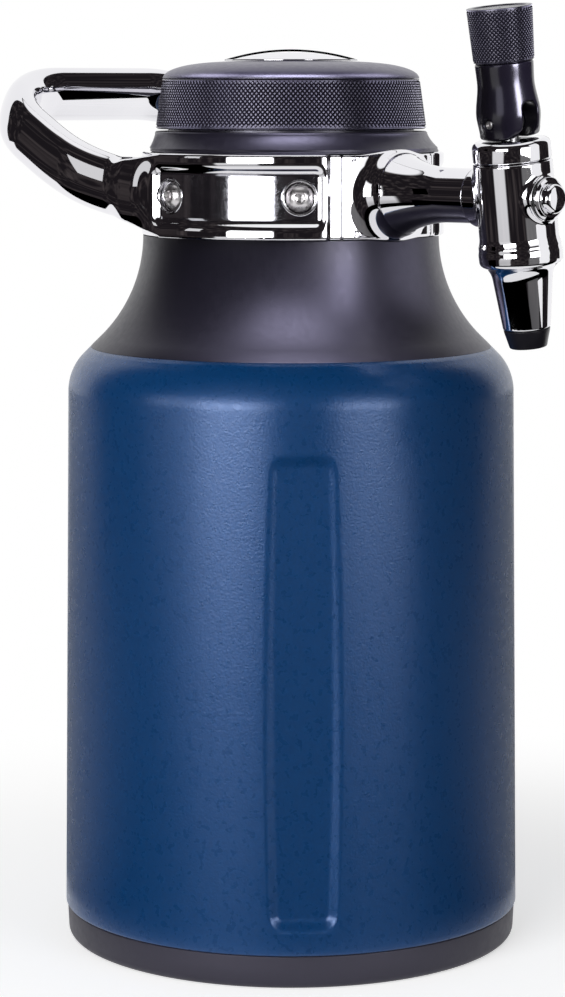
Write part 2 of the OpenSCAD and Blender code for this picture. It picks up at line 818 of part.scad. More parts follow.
module bonnet() {
    edge = 1;
    color("#c8ccd0") at_tap() difference() {
        union() {
            turned(concat(
                [[0, bonnet_z], [bonnet_r, bonnet_z]],
                arc(bonnet_r - edge, bonnet_top - edge, edge, 0, 90, 6),
                [[0, bonnet_top]]
            ));
            rod(chamber_r - seat_gap, bonnet_z - bonnet_plug, bonnet_z + 1);
        }
        rod(stem_r + run_gap, bonnet_z - bonnet_plug - 1, bonnet_top + 1);
        rod(seal_r, seal_z, seal_z + seal_t);
    }
}

module bonnet_o_ring() {
    room = seat_gap / 2;
    color("#151515") at_tap()
        tube(o_ring_r - room, chamber_r + room, faucet_up - o_ring_t + room, faucet_up);
}

module stem_seal() {
    room = seat_gap / 2;
    color("#151515") at_tap() tube(seal_r - room, stem_r + run_gap, seal_z + room, seal_z + seal_t - room);
}

module valve_stem() {
    shaft_z = stem_foot + stem_foot_h;
    shaft_top = pin_z - eye_r + stem_bed;
    color("silver") at_tap() difference() {
        union() {
            turned([
                [0, stem_foot], [stem_foot_r, stem_foot], [stem_foot_r, shaft_z], [stem_r, shaft_z],
                [stem_r, stem_collar_z], [stem_r + stem_collar_out, stem_collar_z],
                [stem_r + stem_collar_out, stem_collar_z + stem_collar_t],
                [stem_r, stem_collar_z + stem_collar_t], [stem_r, shaft_top], [0, shaft_top]
            ]);
            translate([0, 0, pin_z]) rod_y(eye_r, eye_t / 2);
        }
        translate([0, 0, pin_z]) rod_y(pin_r + pin_room, eye_t);
    }
}

module seat_cup() {
    foot = -chamber_down + seat_gap;
    cup_r = spout_bore + 1.2;
    cup_h = 2.8;
    color("#151515") at_tap() difference() {
        rod(cup_r, foot, foot + cup_h);
        rod(stem_foot_r + run_gap, stem_foot - run_gap, foot + cup_h + 1);
    }
}

module stem_spring() {
    room = stem_wire + seat_gap;
    color("#9a9ea3") at_tap()
        coil(stem_r + 2.2, stem_wire, stem_collar_z + stem_collar_t + room, bonnet_z - bonnet_plug - room, 5);
}

module lever_pin() {
    color("#8d9094") at_tap() translate([0, 0, pin_z]) rod_y(pin_r, hub_foot_r);
}

module lever_hub() {
    bulge_z = hub_z + hub_bulge_up;
    waist_z = hub_z + hub_waist_up;
    slot_half = eye_t / 2 + free_gap;
    slot_back = eye_r + 0.4;
    color("#0c0c0d") at_tap() difference() {
        union() {
            turned(concat(
                [[0, hub_z]],
                arc(hub_foot_r - hub_round, hub_z + hub_round, hub_round, -90, 0, 6),
                swell(hub_foot_r, hub_z + hub_round + 0.1, hub_bulge_r, bulge_z, 8),
                swell(hub_bulge_r, bulge_z + 0.1, hub_waist_r, waist_z, 8),
                [[hub_top_r, hub_top - 0.6], [hub_top_r - 0.5, hub_top], [0, hub_top]]
            ));
            rod(grip_spigot_r, hub_top - 1, hub_top + grip_spigot);
        }
        translate([-slot_back, -slot_half, hub_z - 1])
            cube([slot_back + hub_bulge_r + 1, 2 * slot_half, slot_h + 1]);
        translate([cam_x, -hub_bulge_r, hub_z]) rotate([0, -cam_slope, 0]) translate([0, 0, -hub_bulge_r])
            cube(2 * hub_bulge_r * [1, 1, 0.5]);
        translate([0, 0, pin_z]) rod_y(pin_r + run_gap, hub_bulge_r + 1);
    }
}

module lever_grip() {
    foot = hub_top + seat_gap;
    top = foot + grip_h;
    edge = 0.8;
    color("#141415") at_tap() difference() {
        turned([
            [0, foot], [grip_foot_r - edge, foot], [grip_foot_r, foot + edge],
            [grip_top_r, top - edge], [grip_top_r - edge, top], [0, top]
        ]);
        rod(grip_spigot_r + seat_gap, foot - 1, foot + grip_spigot + seat_gap);
    }
}

// Cap, gas side and dial

module cap_gasket() {
    color("#202020") tube(neck_out_r - 0.2, neck_bore_r + 0.4, gasket_z, gasket_z + gasket_t);
}

module cartridge_sleeve() {
    color("#8f9398") difference() {
        rod(sleeve_r, sleeve_z, socket_top - seat_gap);
        rod(sleeve_in_r, sleeve_z + sleeve_floor, socket_top + 1);
        rod(2, sleeve_z - 1, sleeve_z + sleeve_floor + 1);
    }
}

module co2_cartridge() {
    foot_round = cartridge_r - 3;
    shoulder_top = cartridge_top - 9;
    color("#b9bcc0") turned(concat(
        [[0, cartridge_z]],
        arc(cartridge_r - foot_round, cartridge_z + foot_round, foot_round, -90, 0, 6),
        swell(cartridge_r, shoulder_top - 9, cartridge_neck_r, shoulder_top, 8),
        [[cartridge_neck_r, cartridge_top], [0, cartridge_top]]
    ));
}

module regulator_body() {
    color("#a9adb2") difference() {
        union() {
            rod(flange_r, flange_z, flange_top);
            rod(regulator_r, regulator_z, flange_z + flange_t / 2);
        }
        rod(spring_bore, spring_floor, flange_top + 1);
        rod(sleeve_r + seat_gap, regulator_z - 1, socket_top);
        rod(seal_bore, socket_top - 1, socket_top + seal_up);
        rod(pierce_r + run_gap, socket_top, spring_floor + 1);
        translate([relief_x, 0, 0]) rod(relief_r + run_gap, regulator_z - 1, regulator_z + relief_len + 0.6);
    }
}

module piercing_pin() {
    tip = cartridge_top + 0.2;
    point = 1.6;
    color("silver") turned([
        [0, tip], [pierce_r, tip + point], [pierce_r, spring_floor - seat_gap], [0, spring_floor - seat_gap]
    ]);
}

module diaphragm() {
    color("#202020") rod(spring_bore - 0.2, spring_floor + seat_gap, spring_floor + seat_gap + diaphragm_t);
}

module cartridge_seal() {
    color("#202020") tube(seal_bore - 0.1, pierce_r + 0.2, cartridge_top + seat_gap, socket_top + seal_up - seat_gap);
}

module relief_valve() {
    color("#b08d3c") translate([relief_x, 0, 0]) difference() {
        rod(relief_r, regulator_z + 0.4, regulator_z + 0.4 + relief_len);
        rod(relief_r / 2, regulator_z - 1, regulator_z + relief_len / 2);
    }
}

module regulator_spring() {
    room = spring_wire + seat_gap;
    color("#9a9ea3") coil(spring_bore - 2, spring_wire, spring_floor + seat_gap + diaphragm_t + room,
        seat_top - seat_t - room, 2);
}

module cap_body() {
    color("#18181a") difference() {
        rod(cap_r, skirt_z, cap_top);
        rod(skirt_r, skirt_z - 1, cap_in_z);
        rod(adjust_r + run_gap, cap_in_z - 1, cap_top + 1);
    }
}

module dial_ring() {
    color("#111112") turned([
        [ring_bore_r, ring_z], [ring_foot_r - 0.4, ring_z], [ring_foot_r, ring_z + 0.4],
        [ring_top_r, ring_top], [ring_bore_r, ring_top]
    ]);
}

module dial_crown() {
    steps = 16;
    dome = [for (i = [0:steps]) let (r = crown_r * sin(90 * (1 - i / steps)))
        [r, crown_z + crown_h * sqrt(1 - pow(r / crown_r, 4))]];
    color("#1b1b1d") difference() {
        turned(concat([[0, crown_z]], dome));
        rod(ring_bore_r, crown_z - 1, crown_in_z);
        rod(adjust_r + free_gap, crown_in_z - 1, crown_in_z + adjust_end + free_gap);
    }
}

module dial_badge() {
    round_r = (badge_r * badge_r + badge_h * badge_h) / (2 * badge_h);
    foot = crown_top + seat_gap / 2;
    color("#d0d3d6") intersection() {
        rod(badge_r, foot, foot + badge_h);
        translate([0, 0, foot + badge_h - round_r]) sphere(r = round_r);
    }
}

module adjusting_screw() {
    color("silver") rod(adjust_r, seat_top, crown_in_z + adjust_end);
}

module spring_seat() {
    color("silver") rod(spring_bore - 0.3, seat_top - seat_t, seat_top);
}

base_boot();
outer_shell();
vessel_floor();
inner_vessel();
shoulder_cover();
neck_ring();
neck_trim_ring();
handle_collar();
tap_saddle();
collar_screws();
shank_gasket();
shank_nut();
dip_tube_elbow();
dip_tube();
faucet_body();
spout_tip();
front_plug();
plug_o_ring();
bonnet();
bonnet_o_ring();
stem_seal();
valve_stem();
seat_cup();
stem_spring();
lever_pin();
lever_hub();
lever_grip();
cap_gasket();
cartridge_sleeve();
co2_cartridge();
regulator_body();
piercing_pin();
diaphragm();
cartridge_seal();
relief_valve();
regulator_spring();
cap_body();
dial_ring();
dial_crown();
dial_badge();
adjusting_screw();
spring_seat();
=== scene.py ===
import json
import math

import bpy
import numpy as np
from mathutils import Matrix, Vector


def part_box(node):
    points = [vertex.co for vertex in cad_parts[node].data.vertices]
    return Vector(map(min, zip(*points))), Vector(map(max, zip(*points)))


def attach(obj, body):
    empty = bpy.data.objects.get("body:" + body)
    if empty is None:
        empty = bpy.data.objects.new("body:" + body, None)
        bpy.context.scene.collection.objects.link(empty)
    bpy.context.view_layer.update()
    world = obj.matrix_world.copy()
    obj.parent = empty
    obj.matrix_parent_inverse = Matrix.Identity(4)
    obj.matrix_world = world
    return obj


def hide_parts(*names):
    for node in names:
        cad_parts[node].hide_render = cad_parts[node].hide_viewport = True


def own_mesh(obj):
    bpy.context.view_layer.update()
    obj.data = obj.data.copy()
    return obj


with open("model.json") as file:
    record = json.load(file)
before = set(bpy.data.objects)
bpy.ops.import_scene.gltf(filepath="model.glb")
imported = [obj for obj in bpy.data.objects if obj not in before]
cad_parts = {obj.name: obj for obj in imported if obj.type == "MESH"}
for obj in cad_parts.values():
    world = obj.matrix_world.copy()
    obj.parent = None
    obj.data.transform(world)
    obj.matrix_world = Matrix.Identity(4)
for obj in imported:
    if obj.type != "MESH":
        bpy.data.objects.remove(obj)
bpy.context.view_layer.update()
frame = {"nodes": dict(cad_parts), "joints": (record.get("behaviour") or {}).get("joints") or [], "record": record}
mm = 0.001
joints = {joint["name"]: joint for joint in frame["joints"]}
slotOf = {part["node"]: part["material_slot"] for part in frame["record"]["subparts"]}
print("frame:", len(frame["nodes"]), "pieces of the growler")


def spanOf(node):
    low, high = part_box(node)
    return np.array(low) / mm, np.array(high) / mm


def heightsOf(node):
    low, high = spanOf(node)
    return low[2], high[2]


def eased(share):
    return share * share * (3 - 2 * share)


def addObject(name, data):
    added = bpy.data.objects.new(name, data)
    bpy.context.scene.collection.objects.link(added)
    return added


def addNode(tree, kind, values=None, links=None):
    # values are set on the node's sockets, links bring other nodes' outputs to them
    node = tree.nodes.new("ShaderNode" + kind)
    for socket, value in (values or {}).items():
        node.inputs[socket].default_value = value
    for socket, source in (links or {}).items():
        tree.links.new(source, node.inputs[socket])
    return node


# finishes
noiseSpan = (0.3, 0.7)  # the part of a noise's range that a finish uses
coolTint = (0.86, 0.84, 1.0)  # what the black pieces mirror turns a little cool


def startFinish(name):
    finish = bpy.data.materials.new(name)
    finish.use_nodes = True
    tree = finish.node_tree
    return finish, tree, tree.nodes["Principled BSDF"]


def addNoise(tree, scale, detail, stretch=None):
    source = addNode(tree, "TexCoord").outputs["Object"]
    if stretch:
        source = addNode(tree, "Mapping", {"Scale": stretch}, {"Vector": source}).outputs["Vector"]
    return addNode(tree, "TexNoise", {"Scale": scale, "Detail": detail}, {"Vector": source}).outputs["Fac"]


def addRamp(tree, source, dark, light, span):
    ramp = addNode(tree, "ValToRGB", links={"Fac": source})
    first, last = ramp.color_ramp.elements
    first.position, last.position = span
    first.color, last.color = (*dark, 1), (*light, 1)
    return ramp.outputs["Color"]


def addSurface(tree, shader, noises, dark, light, rough, bump):
    # one noise each for colour, roughness and bump; bump is its height in metres and its strength
    tree.links.new(addRamp(tree, noises[0], dark, light, noiseSpan), shader.inputs["Base Color"])
    ends = {"From Min": noiseSpan[0], "From Max": noiseSpan[1], "To Min": rough[0], "To Max": rough[1]}
    spread = addNode(tree, "MapRange", ends, {"Value": noises[1]})
    tree.links.new(spread.outputs["Result"], shader.inputs["Roughness"])
    relief = addNode(tree, "Bump", {"Distance": bump[0], "Strength": bump[1]}, {"Height": noises[2]})
    tree.links.new(relief.outputs["Normal"], shader.inputs["Normal"])


def coatFinish(name, dark, light, rough, grain, bump, specular=0.5, tint=(1, 1, 1), speckle=35):
    finish, tree, shader = startFinish(name)
    shader.inputs["Specular IOR Level"].default_value = specular
    shader.inputs["Specular Tint"].default_value = (*tint, 1)
    noises = [addNoise(tree, speckle, 1), addNoise(tree, grain / 3, 2), addNoise(tree, grain, 1)]
    addSurface(tree, shader, noises, dark, light, rough, bump)
    return finish


def metalFinish(name, dark, light, rough, grain, bump, stretch=None):
    finish, tree, shader = startFinish(name)
    shader.inputs["Metallic"].default_value = 1
    noises = [addNoise(tree, grain / 4, 2, stretch), addNoise(tree, grain, 3, stretch),
              addNoise(tree, grain, 2, stretch)]
    addSurface(tree, shader, noises, dark, light, rough, bump)
    return finish


finishes = {
    "blue_coat": coatFinish(
        "powderBlue", dark=(0.0004, 0.037, 0.135), light=(0.0007, 0.048, 0.167), rough=(0.26, 0.32),
        grain=1500, bump=(0.0002, 0.20), specular=0.85, tint=(0.52, 0.65, 1.0), speckle=1300),
    "cover_black": coatFinish(
        "softBlack", dark=(0.004, 0.0035, 0.0065), light=(0.0055, 0.005, 0.008), rough=(0.36, 0.42),
        grain=1800, bump=(0.0002, 0.06), specular=0.6, tint=coolTint),
    "boot_rubber": coatFinish(
        "bootBlack", dark=(0.024, 0.022, 0.035), light=(0.029, 0.027, 0.041), rough=(0.46, 0.54),
        grain=1400, bump=(0.0002, 0.10), tint=coolTint),
    "trim_black": coatFinish(
        "satinBlack", dark=(0.008, 0.007, 0.012), light=(0.010, 0.009, 0.015), rough=(0.32, 0.40),
        grain=1800, bump=(0.0002, 0.05), specular=1.0, tint=coolTint),
    "knurl_black": coatFinish(
        "knurlBlack", dark=(0.010, 0.009, 0.014), light=(0.013, 0.012, 0.017), rough=(0.20, 0.28),
        grain=900, bump=(0.0001, 0.05), specular=1.0, tint=coolTint),
    "gloss_black": coatFinish(
        "glossBlack", dark=(0.004, 0.0035, 0.006), light=(0.006, 0.005, 0.008), rough=(0.16, 0.21),
        grain=300, bump=(0.0001, 0.02), specular=0.6),
    "spout_black": coatFinish(
        "tipBlack", dark=(0.010, 0.009, 0.014), light=(0.013, 0.012, 0.017), rough=(0.28, 0.36),
        grain=900, bump=(0.0001, 0.05)),
    "seal_rubber": coatFinish(
        "sealRubber", dark=(0.012, 0.012, 0.012), light=(0.018, 0.018, 0.018), rough=(0.6, 0.75),
        grain=900, bump=(0.0002, 0.1)),
    "chrome": metalFinish(
        "chromePlate", dark=(0.80, 0.795, 0.83), light=(0.84, 0.835, 0.865), rough=(0.02, 0.04),
        grain=140, bump=(0.0002, 0.004)),
    "screw_steel": metalFinish(
        "screwSteel", dark=(0.74, 0.72, 0.73), light=(0.82, 0.80, 0.81), rough=(0.26, 0.34),
        grain=900, bump=(0.0001, 0.05)),
    "steel": metalFinish(
        "brushedSteel", dark=(0.52, 0.52, 0.53), light=(0.62, 0.62, 0.63), rough=(0.26, 0.36),
        grain=500, bump=(0.0001, 0.08), stretch=(1, 1, 12)),
    "gas_metal": metalFinish(
        "satinAlloy", dark=(0.52, 0.53, 0.55), light=(0.60, 0.61, 0.63), rough=(0.30, 0.40),
        grain=900, bump=(0.0001, 0.06)),
    "cartridge_steel": metalFinish(
        "zincSteel", dark=(0.50, 0.50, 0.52), light=(0.60, 0.60, 0.62), rough=(0.28, 0.42),
        grain=260, bump=(0.0001, 0.05)),
    "spring_steel": metalFinish(
        "drawnWire", dark=(0.42, 0.42, 0.44), light=(0.52, 0.52, 0.54), rough=(0.22, 0.32),
        grain=700, bump=(0.0001, 0.05)),
    "brass": metalFinish(
        "turnedBrass", dark=(0.60, 0.43, 0.17), light=(0.70, 0.52, 0.24), rough=(0.24, 0.34),
        grain=700, bump=(0.0001, 0.06), stretch=(1, 1, 8)),
}
# painted highlight: a lighter colour for the knurl's flats, in place of the light they catch
glintTipFinish = coatFinish(
    "knurlPaintedGlints", dark=(0.045, 0.043, 0.053), light=(0.062, 0.060, 0.071), rough=(0.26, 0.34),
    grain=900, bump=(0.0001, 0.05), specular=1.0, tint=coolTint)
pocketFinish = metalFinish(
    "pocketChrome", dark=(0.60, 0.60, 0.66), light=(0.70, 0.70, 0.76), rough=(0.06, 0.12),
    grain=1400, bump=(0.0001, 0.05))
for node, shape in frame["nodes"].items():
    shape.data.materials.clear()
    shape.data.materials.append(finishes[slotOf[node]])
pieces = list(frame["nodes"].values())
print("finishes:", len(finishes))


# making pieces, in millimetres; s is short for a piece's settings
fineAround, smallAround = 256, 128  # points around a large and a small turned piece
roundSteps, fineSteps = 6, 8  # points along a rounded corner


def placed(points, matrix):
    turn = np.array(matrix)[:3, :3]
    return np.asarray(points) @ turn.T + np.array(matrix)[:3, 3]


def addPiece(name, points, faces, body, slot, replaced=(), normals=None, sharp=38, place=None):
    if place is not None:
        points = placed(points, place)
    mesh = bpy.data.meshes.new(name)
    mesh.from_pydata((np.asarray(points) * mm).tolist(), [], faces)
    mesh.shade_smooth()
    if normals is None:
        mesh.set_sharp_from_angle(angle=math.radians(sharp))
    else:
        turned = normals if place is None else normals @ np.array(place)[:3, :3].T
        mesh.normals_split_custom_set_from_vertices(turned.tolist())
    mesh.materials.append(finishes[slot])
    piece = addObject(name, mesh)
    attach(piece, body)
    if replaced:
        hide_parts(*replaced)
    pieces.append(piece)
    print("piece:", name, len(mesh.vertices), "points")
    return piece


def moved(outline, outward, up):
    return [(corner[0] + outward, corner[1] + up, *corner[2:]) for corner in outline]


def softLine(corners, steps=roundSteps):
    # corners are (radius, height) or (radius, height, round)
    spots = [np.array(corner[:2], float) for corner in corners]
    rounds = [corner[2] if len(corner) > 2 else 0 for corner in corners]
    mostTaken = 0.49  # share of a side that one round may take
    line = []
    for i, spot in enumerate(spots):
        before = spots[i - 1] - spot
        after = spots[(i + 1) % len(spots)] - spot
        lengthBefore, lengthAfter = np.linalg.norm(before), np.linalg.norm(after)
        if not rounds[i] or min(lengthBefore, lengthAfter) < 1e-9:
            line.append(spot)
            continue
        before, after = before / lengthBefore, after / lengthAfter
        half = math.acos(np.clip(before @ after, -1, 1)) / 2
        back = min(rounds[i] / math.tan(half), mostTaken * lengthBefore, mostTaken * lengthAfter)
        radius = back * math.tan(half)
        middle = spot + (before + after) / np.linalg.norm(before + after) * radius / math.sin(half)
        first, last = spot + before * back - middle, spot + after * back - middle
        sweep = math.pi - 2 * half
        for share in np.arange(steps + 1) / steps:
            weight = np.sin([(1 - share) * sweep, share * sweep]) / math.sin(sweep)
            line.append(middle + weight[0] * first + weight[1] * last)
    return line


def ringFaces(first, second, around):
    # faces between two rows, each given by its first point and its count; a row of one point is a pole
    faces = []
    for k in range(around):
        nextK = (k + 1) % around
        if first[1] == 1:
            faces.append((first[0], second[0] + nextK, second[0] + k))
        elif second[1] == 1:
            faces.append((first[0] + k, first[0] + nextK, second[0]))
        else:
            faces.append((first[0] + k, first[0] + nextK, second[0] + nextK, second[0] + k))
    return faces


def turnedMesh(line, around, shift=None):
    # shift gives how far a row's middle lies towards +X at a height; a line that starts off the axis closes
    angles = 2 * math.pi * np.arange(around) / around
    points, rows, faces = [], [], []
    for radius, height in line:
        push = shift(height) if shift else 0
        if radius < 1e-6:
            rows.append((len(points), 1))
            points.append((push, 0, height))
            continue
        rows.append((len(points), around))
        points.extend(zip(push + radius * np.cos(angles), radius * np.sin(angles), [height] * around))
    count = len(rows) - 1 if rows[0][1] == 1 else len(rows)
    for i in range(count):
        faces.extend(ringFaces(rows[i], rows[(i + 1) % len(rows)], around))
    return np.array(points, float), faces


def addTurned(name, line, around, body, slot, replaced, sharp=38, place=None):
    points, faces = turnedMesh(line, around)
    addPiece(name, points, faces, body, slot, replaced, sharp=sharp, place=place)


def arcLine(middle, radius, first, last, steps):
    angles = np.radians(np.linspace(first, last, steps + 1))
    return [(middle[0] + radius * math.cos(a), middle[1] + radius * math.sin(a)) for a in angles]


# forms that flow into each other: a field is negative inside, and its zero surface becomes the mesh
meshing = {"block": 8, "reach": 1.3, "probe": 0.03, "leastSteep": 0.05, "stride": 0.7, "settles": 3,
           "smooths": 2, "smoothSettles": 2}


def join(a, b, soft):
    near = np.maximum(soft - np.abs(a - b), 0) / soft
    return np.minimum(a, b) - near * near * soft / 4


def both(a, b, soft):
    return -join(-a, -b, soft)


def cut(a, b, soft):
    return both(a, -b, soft)


def slopeOf(field, points):
    step = meshing["probe"]
    slope = np.empty_like(points)
    for axis in range(3):
        push = np.zeros(3)
        push[axis] = step
        slope[:, axis] = (field(points + push) - field(points - push)) / (2 * step)
    return slope


def settle(field, points, cell, rounds):
    # moves points onto the surface, a limited way at a time
    for _ in range(rounds):
        slope = slopeOf(field, points)
        steep = np.maximum((slope ** 2).sum(1), meshing["leastSteep"])
        move = slope * (field(points) / steep)[:, None]
        length = np.linalg.norm(move, axis=1, keepdims=True)
        points = points - move * np.minimum(1, meshing["stride"] * cell / np.maximum(length, 1e-12))
    return points


def sampled(field, low, high, cell):
    # the field on a grid, worked out only in the blocks that lie near the surface
    block = meshing["block"]
    side = cell * block
    blocks = np.ceil((high - low) / side).astype(int)
    middles = np.stack(np.meshgrid(*[low[i] + (np.arange(blocks[i]) + 0.5) * side for i in range(3)],
                                   indexing="ij"), -1)
    rough = field(middles.reshape(-1, 3)).reshape(blocks)
    near = np.argwhere(np.abs(rough) < meshing["reach"] * side)
    values = np.where(rough < 0, -side, side)
    for axis in range(3):
        values = np.repeat(values, block, axis)
    values = np.pad(values, ((0, 1), (0, 1), (0, 1)), "edge")
    steps = np.stack(np.meshgrid(*[np.arange(block + 1)] * 3, indexing="ij"), -1).reshape(-1, 3)
    spots = (near[:, None, :] * block + steps[None]).reshape(-1, 3)
    values[tuple(spots.T)] = field(low + spots * cell)
    return values


def fieldMesh(field, low, high, cell):
    low, high = np.array(low, float), np.array(high, float)
    values = sampled(field, low, high, cell)
    inside = values < 0
    full = [slice(0, -1), slice(1, None)]
    corners = [(i, j, k) for i in (0, 1) for j in (0, 1) for k in (0, 1)]
    filled = sum(inside[full[i], full[j], full[k]].astype(np.int8) for i, j, k in corners)
    crossed = (filled > 0) & (filled < len(corners))
    cells = np.argwhere(crossed)
    index = np.full(crossed.shape, -1, int)
    index[tuple(cells.T)] = np.arange(len(cells))
    total, hits = np.zeros((len(cells), 3)), np.zeros(len(cells))
    for start in corners:  # one point in each crossed cell, amid the crossings on its edges
        for axis in range(3):
            if start[axis]:
                continue
            end = tuple(1 if i == axis else start[i] for i in range(3))
            a = values[tuple((cells + start).T)]
            b = values[tuple((cells + end).T)]
            change = (a < 0) != (b < 0)
            share = np.where(change, a / np.where(change, a - b, 1), 0)
            spot = np.array(start) + share[:, None] * (np.array(end) - start)
            total += np.where(change[:, None], spot, 0)
            hits += change
    points = low + (cells + total / hits[:, None]) * cell
    faces = []
    for axis in range(3):  # one face for each crossed edge of the grid
        u, v = (axis + 1) % 3, (axis + 2) % 3
        first, second = [slice(1, -1)] * 3, [slice(1, -1)] * 3
        first[axis], second[axis] = slice(0, -1), slice(1, None)
        starts = inside[tuple(first)]
        edges = np.argwhere(starts != inside[tuple(second)])
        leaving = starts[tuple(edges.T)]
        edges[:, u] += 1
        edges[:, v] += 1
        ring = []
        for du, dv in ((1, 1), (0, 1), (0, 0), (1, 0)):
            spot = edges.copy()
            spot[:, u] -= du
            spot[:, v] -= dv
            ring.append(index[tuple(spot.T)])
        quads = np.stack(ring, 1)
        faces.append(np.where(leaving[:, None], quads, quads[:, ::-1]))
    faces = np.concatenate(faces)
    points = settle(field, points, cell, meshing["settles"])
    for _ in range(meshing["smooths"]):
        total, hits = np.zeros_like(points), np.zeros(len(points))
        for k in range(4):
            np.add.at(total, faces[:, k], points[faces[:, (k + 1) % 4]] + points[faces[:, k - 1]])
            np.add.at(hits, faces[:, k], 2)
        halfway = 0.5 * points + 0.5 * total / hits[:, None]
        points = settle(field, halfway, cell, meshing["smoothSettles"])
    slope = slopeOf(field, points)
    return points, faces.tolist(), slope / np.linalg.norm(slope, axis=1, keepdims=True)


def boxField(a, b, halfA, halfB, corner):
    # rounded rectangle seen along its third way
    outA, outB = np.abs(a) - halfA + corner, np.abs(b) - halfB + corner
    outside = np.hypot(np.maximum(outA, 0), np.maximum(outB, 0))
    return outside + np.minimum(np.maximum(outA, outB), 0) - corner


def ovalField(a, b, halfA, halfB, power):
    least = 1e-4
    u, v = np.maximum(np.abs(a) / halfA, least), np.maximum(np.abs(b) / halfB, least)
    level = (u ** power + v ** power) ** (1 / power)
    slope = level ** (1 - power) * np.hypot(u ** (power - 1) / halfA, v ** (power - 1) / halfB)
    return (level - 1) / np.maximum(slope, least)


# measures that several pieces share
bodyR = spanOf("base_boot")[1][0]
bootTop = spanOf("base_boot")[1][2]
collarZ, collarTop = heightsOf("tap_saddle")
collarMid, collarHalf = (collarZ + collarTop) / 2, (collarTop - collarZ) / 2
pinSpot = np.array(joints["lever_tilt"]["pos_m"]) / mm
tapUp = Vector(joints["stem_lift"]["axis"])
tapTurn = math.atan2(-tapUp.y, tapUp.z)
tapX, tapZ = pinSpot[0], 222.0  # the shank's middle meets the tap here
tapPlace = Matrix.Translation((tapX, 0, tapZ)) @ Matrix.Rotation(tapTurn, 4, "X")
pinUp = np.linalg.norm(pinSpot - np.array((tapX, 0, tapZ)))


# boot: the black foot of the body
boot = {"setIn": 0.45, "lean": 0.5, "footRound": 2.2, "edge": 0.5, "wall": 1.7, "floor": 2.4, "ringIn": 48,
        "ringLean": 1, "ringRound": 0.4, "recess": 0.7, "ribs": 5, "ribGap": 7.5, "ribH": 0.45,
        "ribFoot": 1.2, "ribTop": 0.6}


def makeBoot():
    s = boot
    out = bodyR - s["setIn"]
    low = s["recess"] - s["ribH"]
    corners = [(0, s["recess"])]
    for k in range(1, s["ribs"] + 1):
        middle = k * s["ribGap"]
        corners += [(middle - s["ribFoot"], s["recess"]), (middle - s["ribTop"], low),
                    (middle + s["ribTop"], low), (middle + s["ribFoot"], s["recess"])]
    corners += [(s["ringIn"] - s["ringLean"], s["recess"]), (s["ringIn"], 0, s["ringRound"]),
                (out - s["lean"], 0, s["footRound"]), (out, bootTop, s["edge"]),
                (out - s["wall"], bootTop), (out - s["wall"], s["floor"]), (0, s["floor"])]
    addTurned("bootFoot", softLine(corners, fineSteps), fineAround, "vessel", "boot_rubber", ["base_boot"])


# body: the blue shell with its two pressed panels, and how close its points lie
body = {"shoulderR": 66.35, "shoulderZ": 162.3, "shoulderRound": 15.5, "shoulderTurn": 45, "seamZ": 175.4,
        "wall": 1.0, "edge": 0.6, "panelTurns": (-40, 140), "panelLow": 16.5, "panelHigh": 150.0,
        "panelHalf": 9.5, "panelSwell": 1.5, "panelCorner": 4.5, "panelDepth": 1.3, "bevel": 2.7,
        "soften": 0.3}
bodyRows = {"foot": (0, 0.15, 0.4, 0.8, 1.6, 3), "panelEnd": (-2, 9, 0.4), "between": (10, 9, 3.0),
            "overPanel": (4, 7), "underShoulder": 2, "shoulder": 24, "underSeam": (0.5, 1),
            "turn": 1.5, "panelSide": (-4.4, 0.8, 0.2), "digits": 3}


def bodyOutline():
    # outer radius and height from the boot up to the seam, close together near the panels' ends
    s, rows = body, bodyRows
    heights = [bootTop + up for up in rows["foot"]]
    heights += list(s["panelLow"] + np.arange(*rows["panelEnd"]))
    heights += list(s["panelHigh"] - np.arange(*rows["panelEnd"]))
    above, below, step = rows["between"]
    heights += list(np.arange(s["panelLow"] + above, s["panelHigh"] - below, step))
    heights += [s["panelHigh"] + up for up in rows["overPanel"]]
    heights.append(s["shoulderZ"] - rows["underShoulder"])
    outline = []
    for height in sorted(heights):
        taper = (height - bootTop) / (s["shoulderZ"] - bootTop)
        radius = bodyR + (s["shoulderR"] - bodyR) * taper
        under = max(0, bootTop + s["edge"] - height)
        radius -= s["edge"] - math.sqrt(max(0, s["edge"] ** 2 - under ** 2))
        outline.append((radius, height))
    middle = (s["shoulderR"] - s["shoulderRound"], s["shoulderZ"])
    outline += arcLine(middle, s["shoulderRound"], 0, s["shoulderTurn"], rows["shoulder"])
    lastR, lastZ = outline[-1]
    return outline + [(lastR - rise, lastZ + rise) for rise in (*rows["underSeam"], s["seamZ"] - lastZ)]


def panelShare(across, height):
    # 0 outside a panel, 1 on its floor
    s = body
    middle, half = (s["panelLow"] + s["panelHigh"]) / 2, (s["panelHigh"] - s["panelLow"]) / 2
    widest = s["panelHalf"] + s["panelSwell"]
    swell = s["panelHalf"] + s["panelSwell"] * (1 - ((height - middle) / half) ** 2)
    stretched = across * widest / np.maximum(swell, 1)
    edge = boxField(stretched, height - middle, widest, half, s["panelCorner"])
    depth = both(-edge / s["bevel"], np.zeros_like(edge), s["soften"])
    return np.clip(join(depth, np.ones_like(edge), s["soften"]), 0, 1)


def bodySurface(radius, height, angle):
    # one row of the shell, pressed in where a panel lies
    s = body
    x, y = radius * np.cos(angle), radius * np.sin(angle)
    floorX = math.sqrt(bodyR ** 2 - s["panelHalf"] ** 2) - s["panelDepth"]
    for turn in np.radians(s["panelTurns"]):
        ahead = x * math.cos(turn) + y * math.sin(turn)
        across = y * math.cos(turn) - x * math.sin(turn)
        share = np.where(ahead > 0, panelShare(across, np.full_like(across, height)), 0)
        pressed = ahead + (floorX - ahead) * share
        x = pressed * math.cos(turn) - across * math.sin(turn)
        y = pressed * math.sin(turn) + across * math.cos(turn)
    return x, y


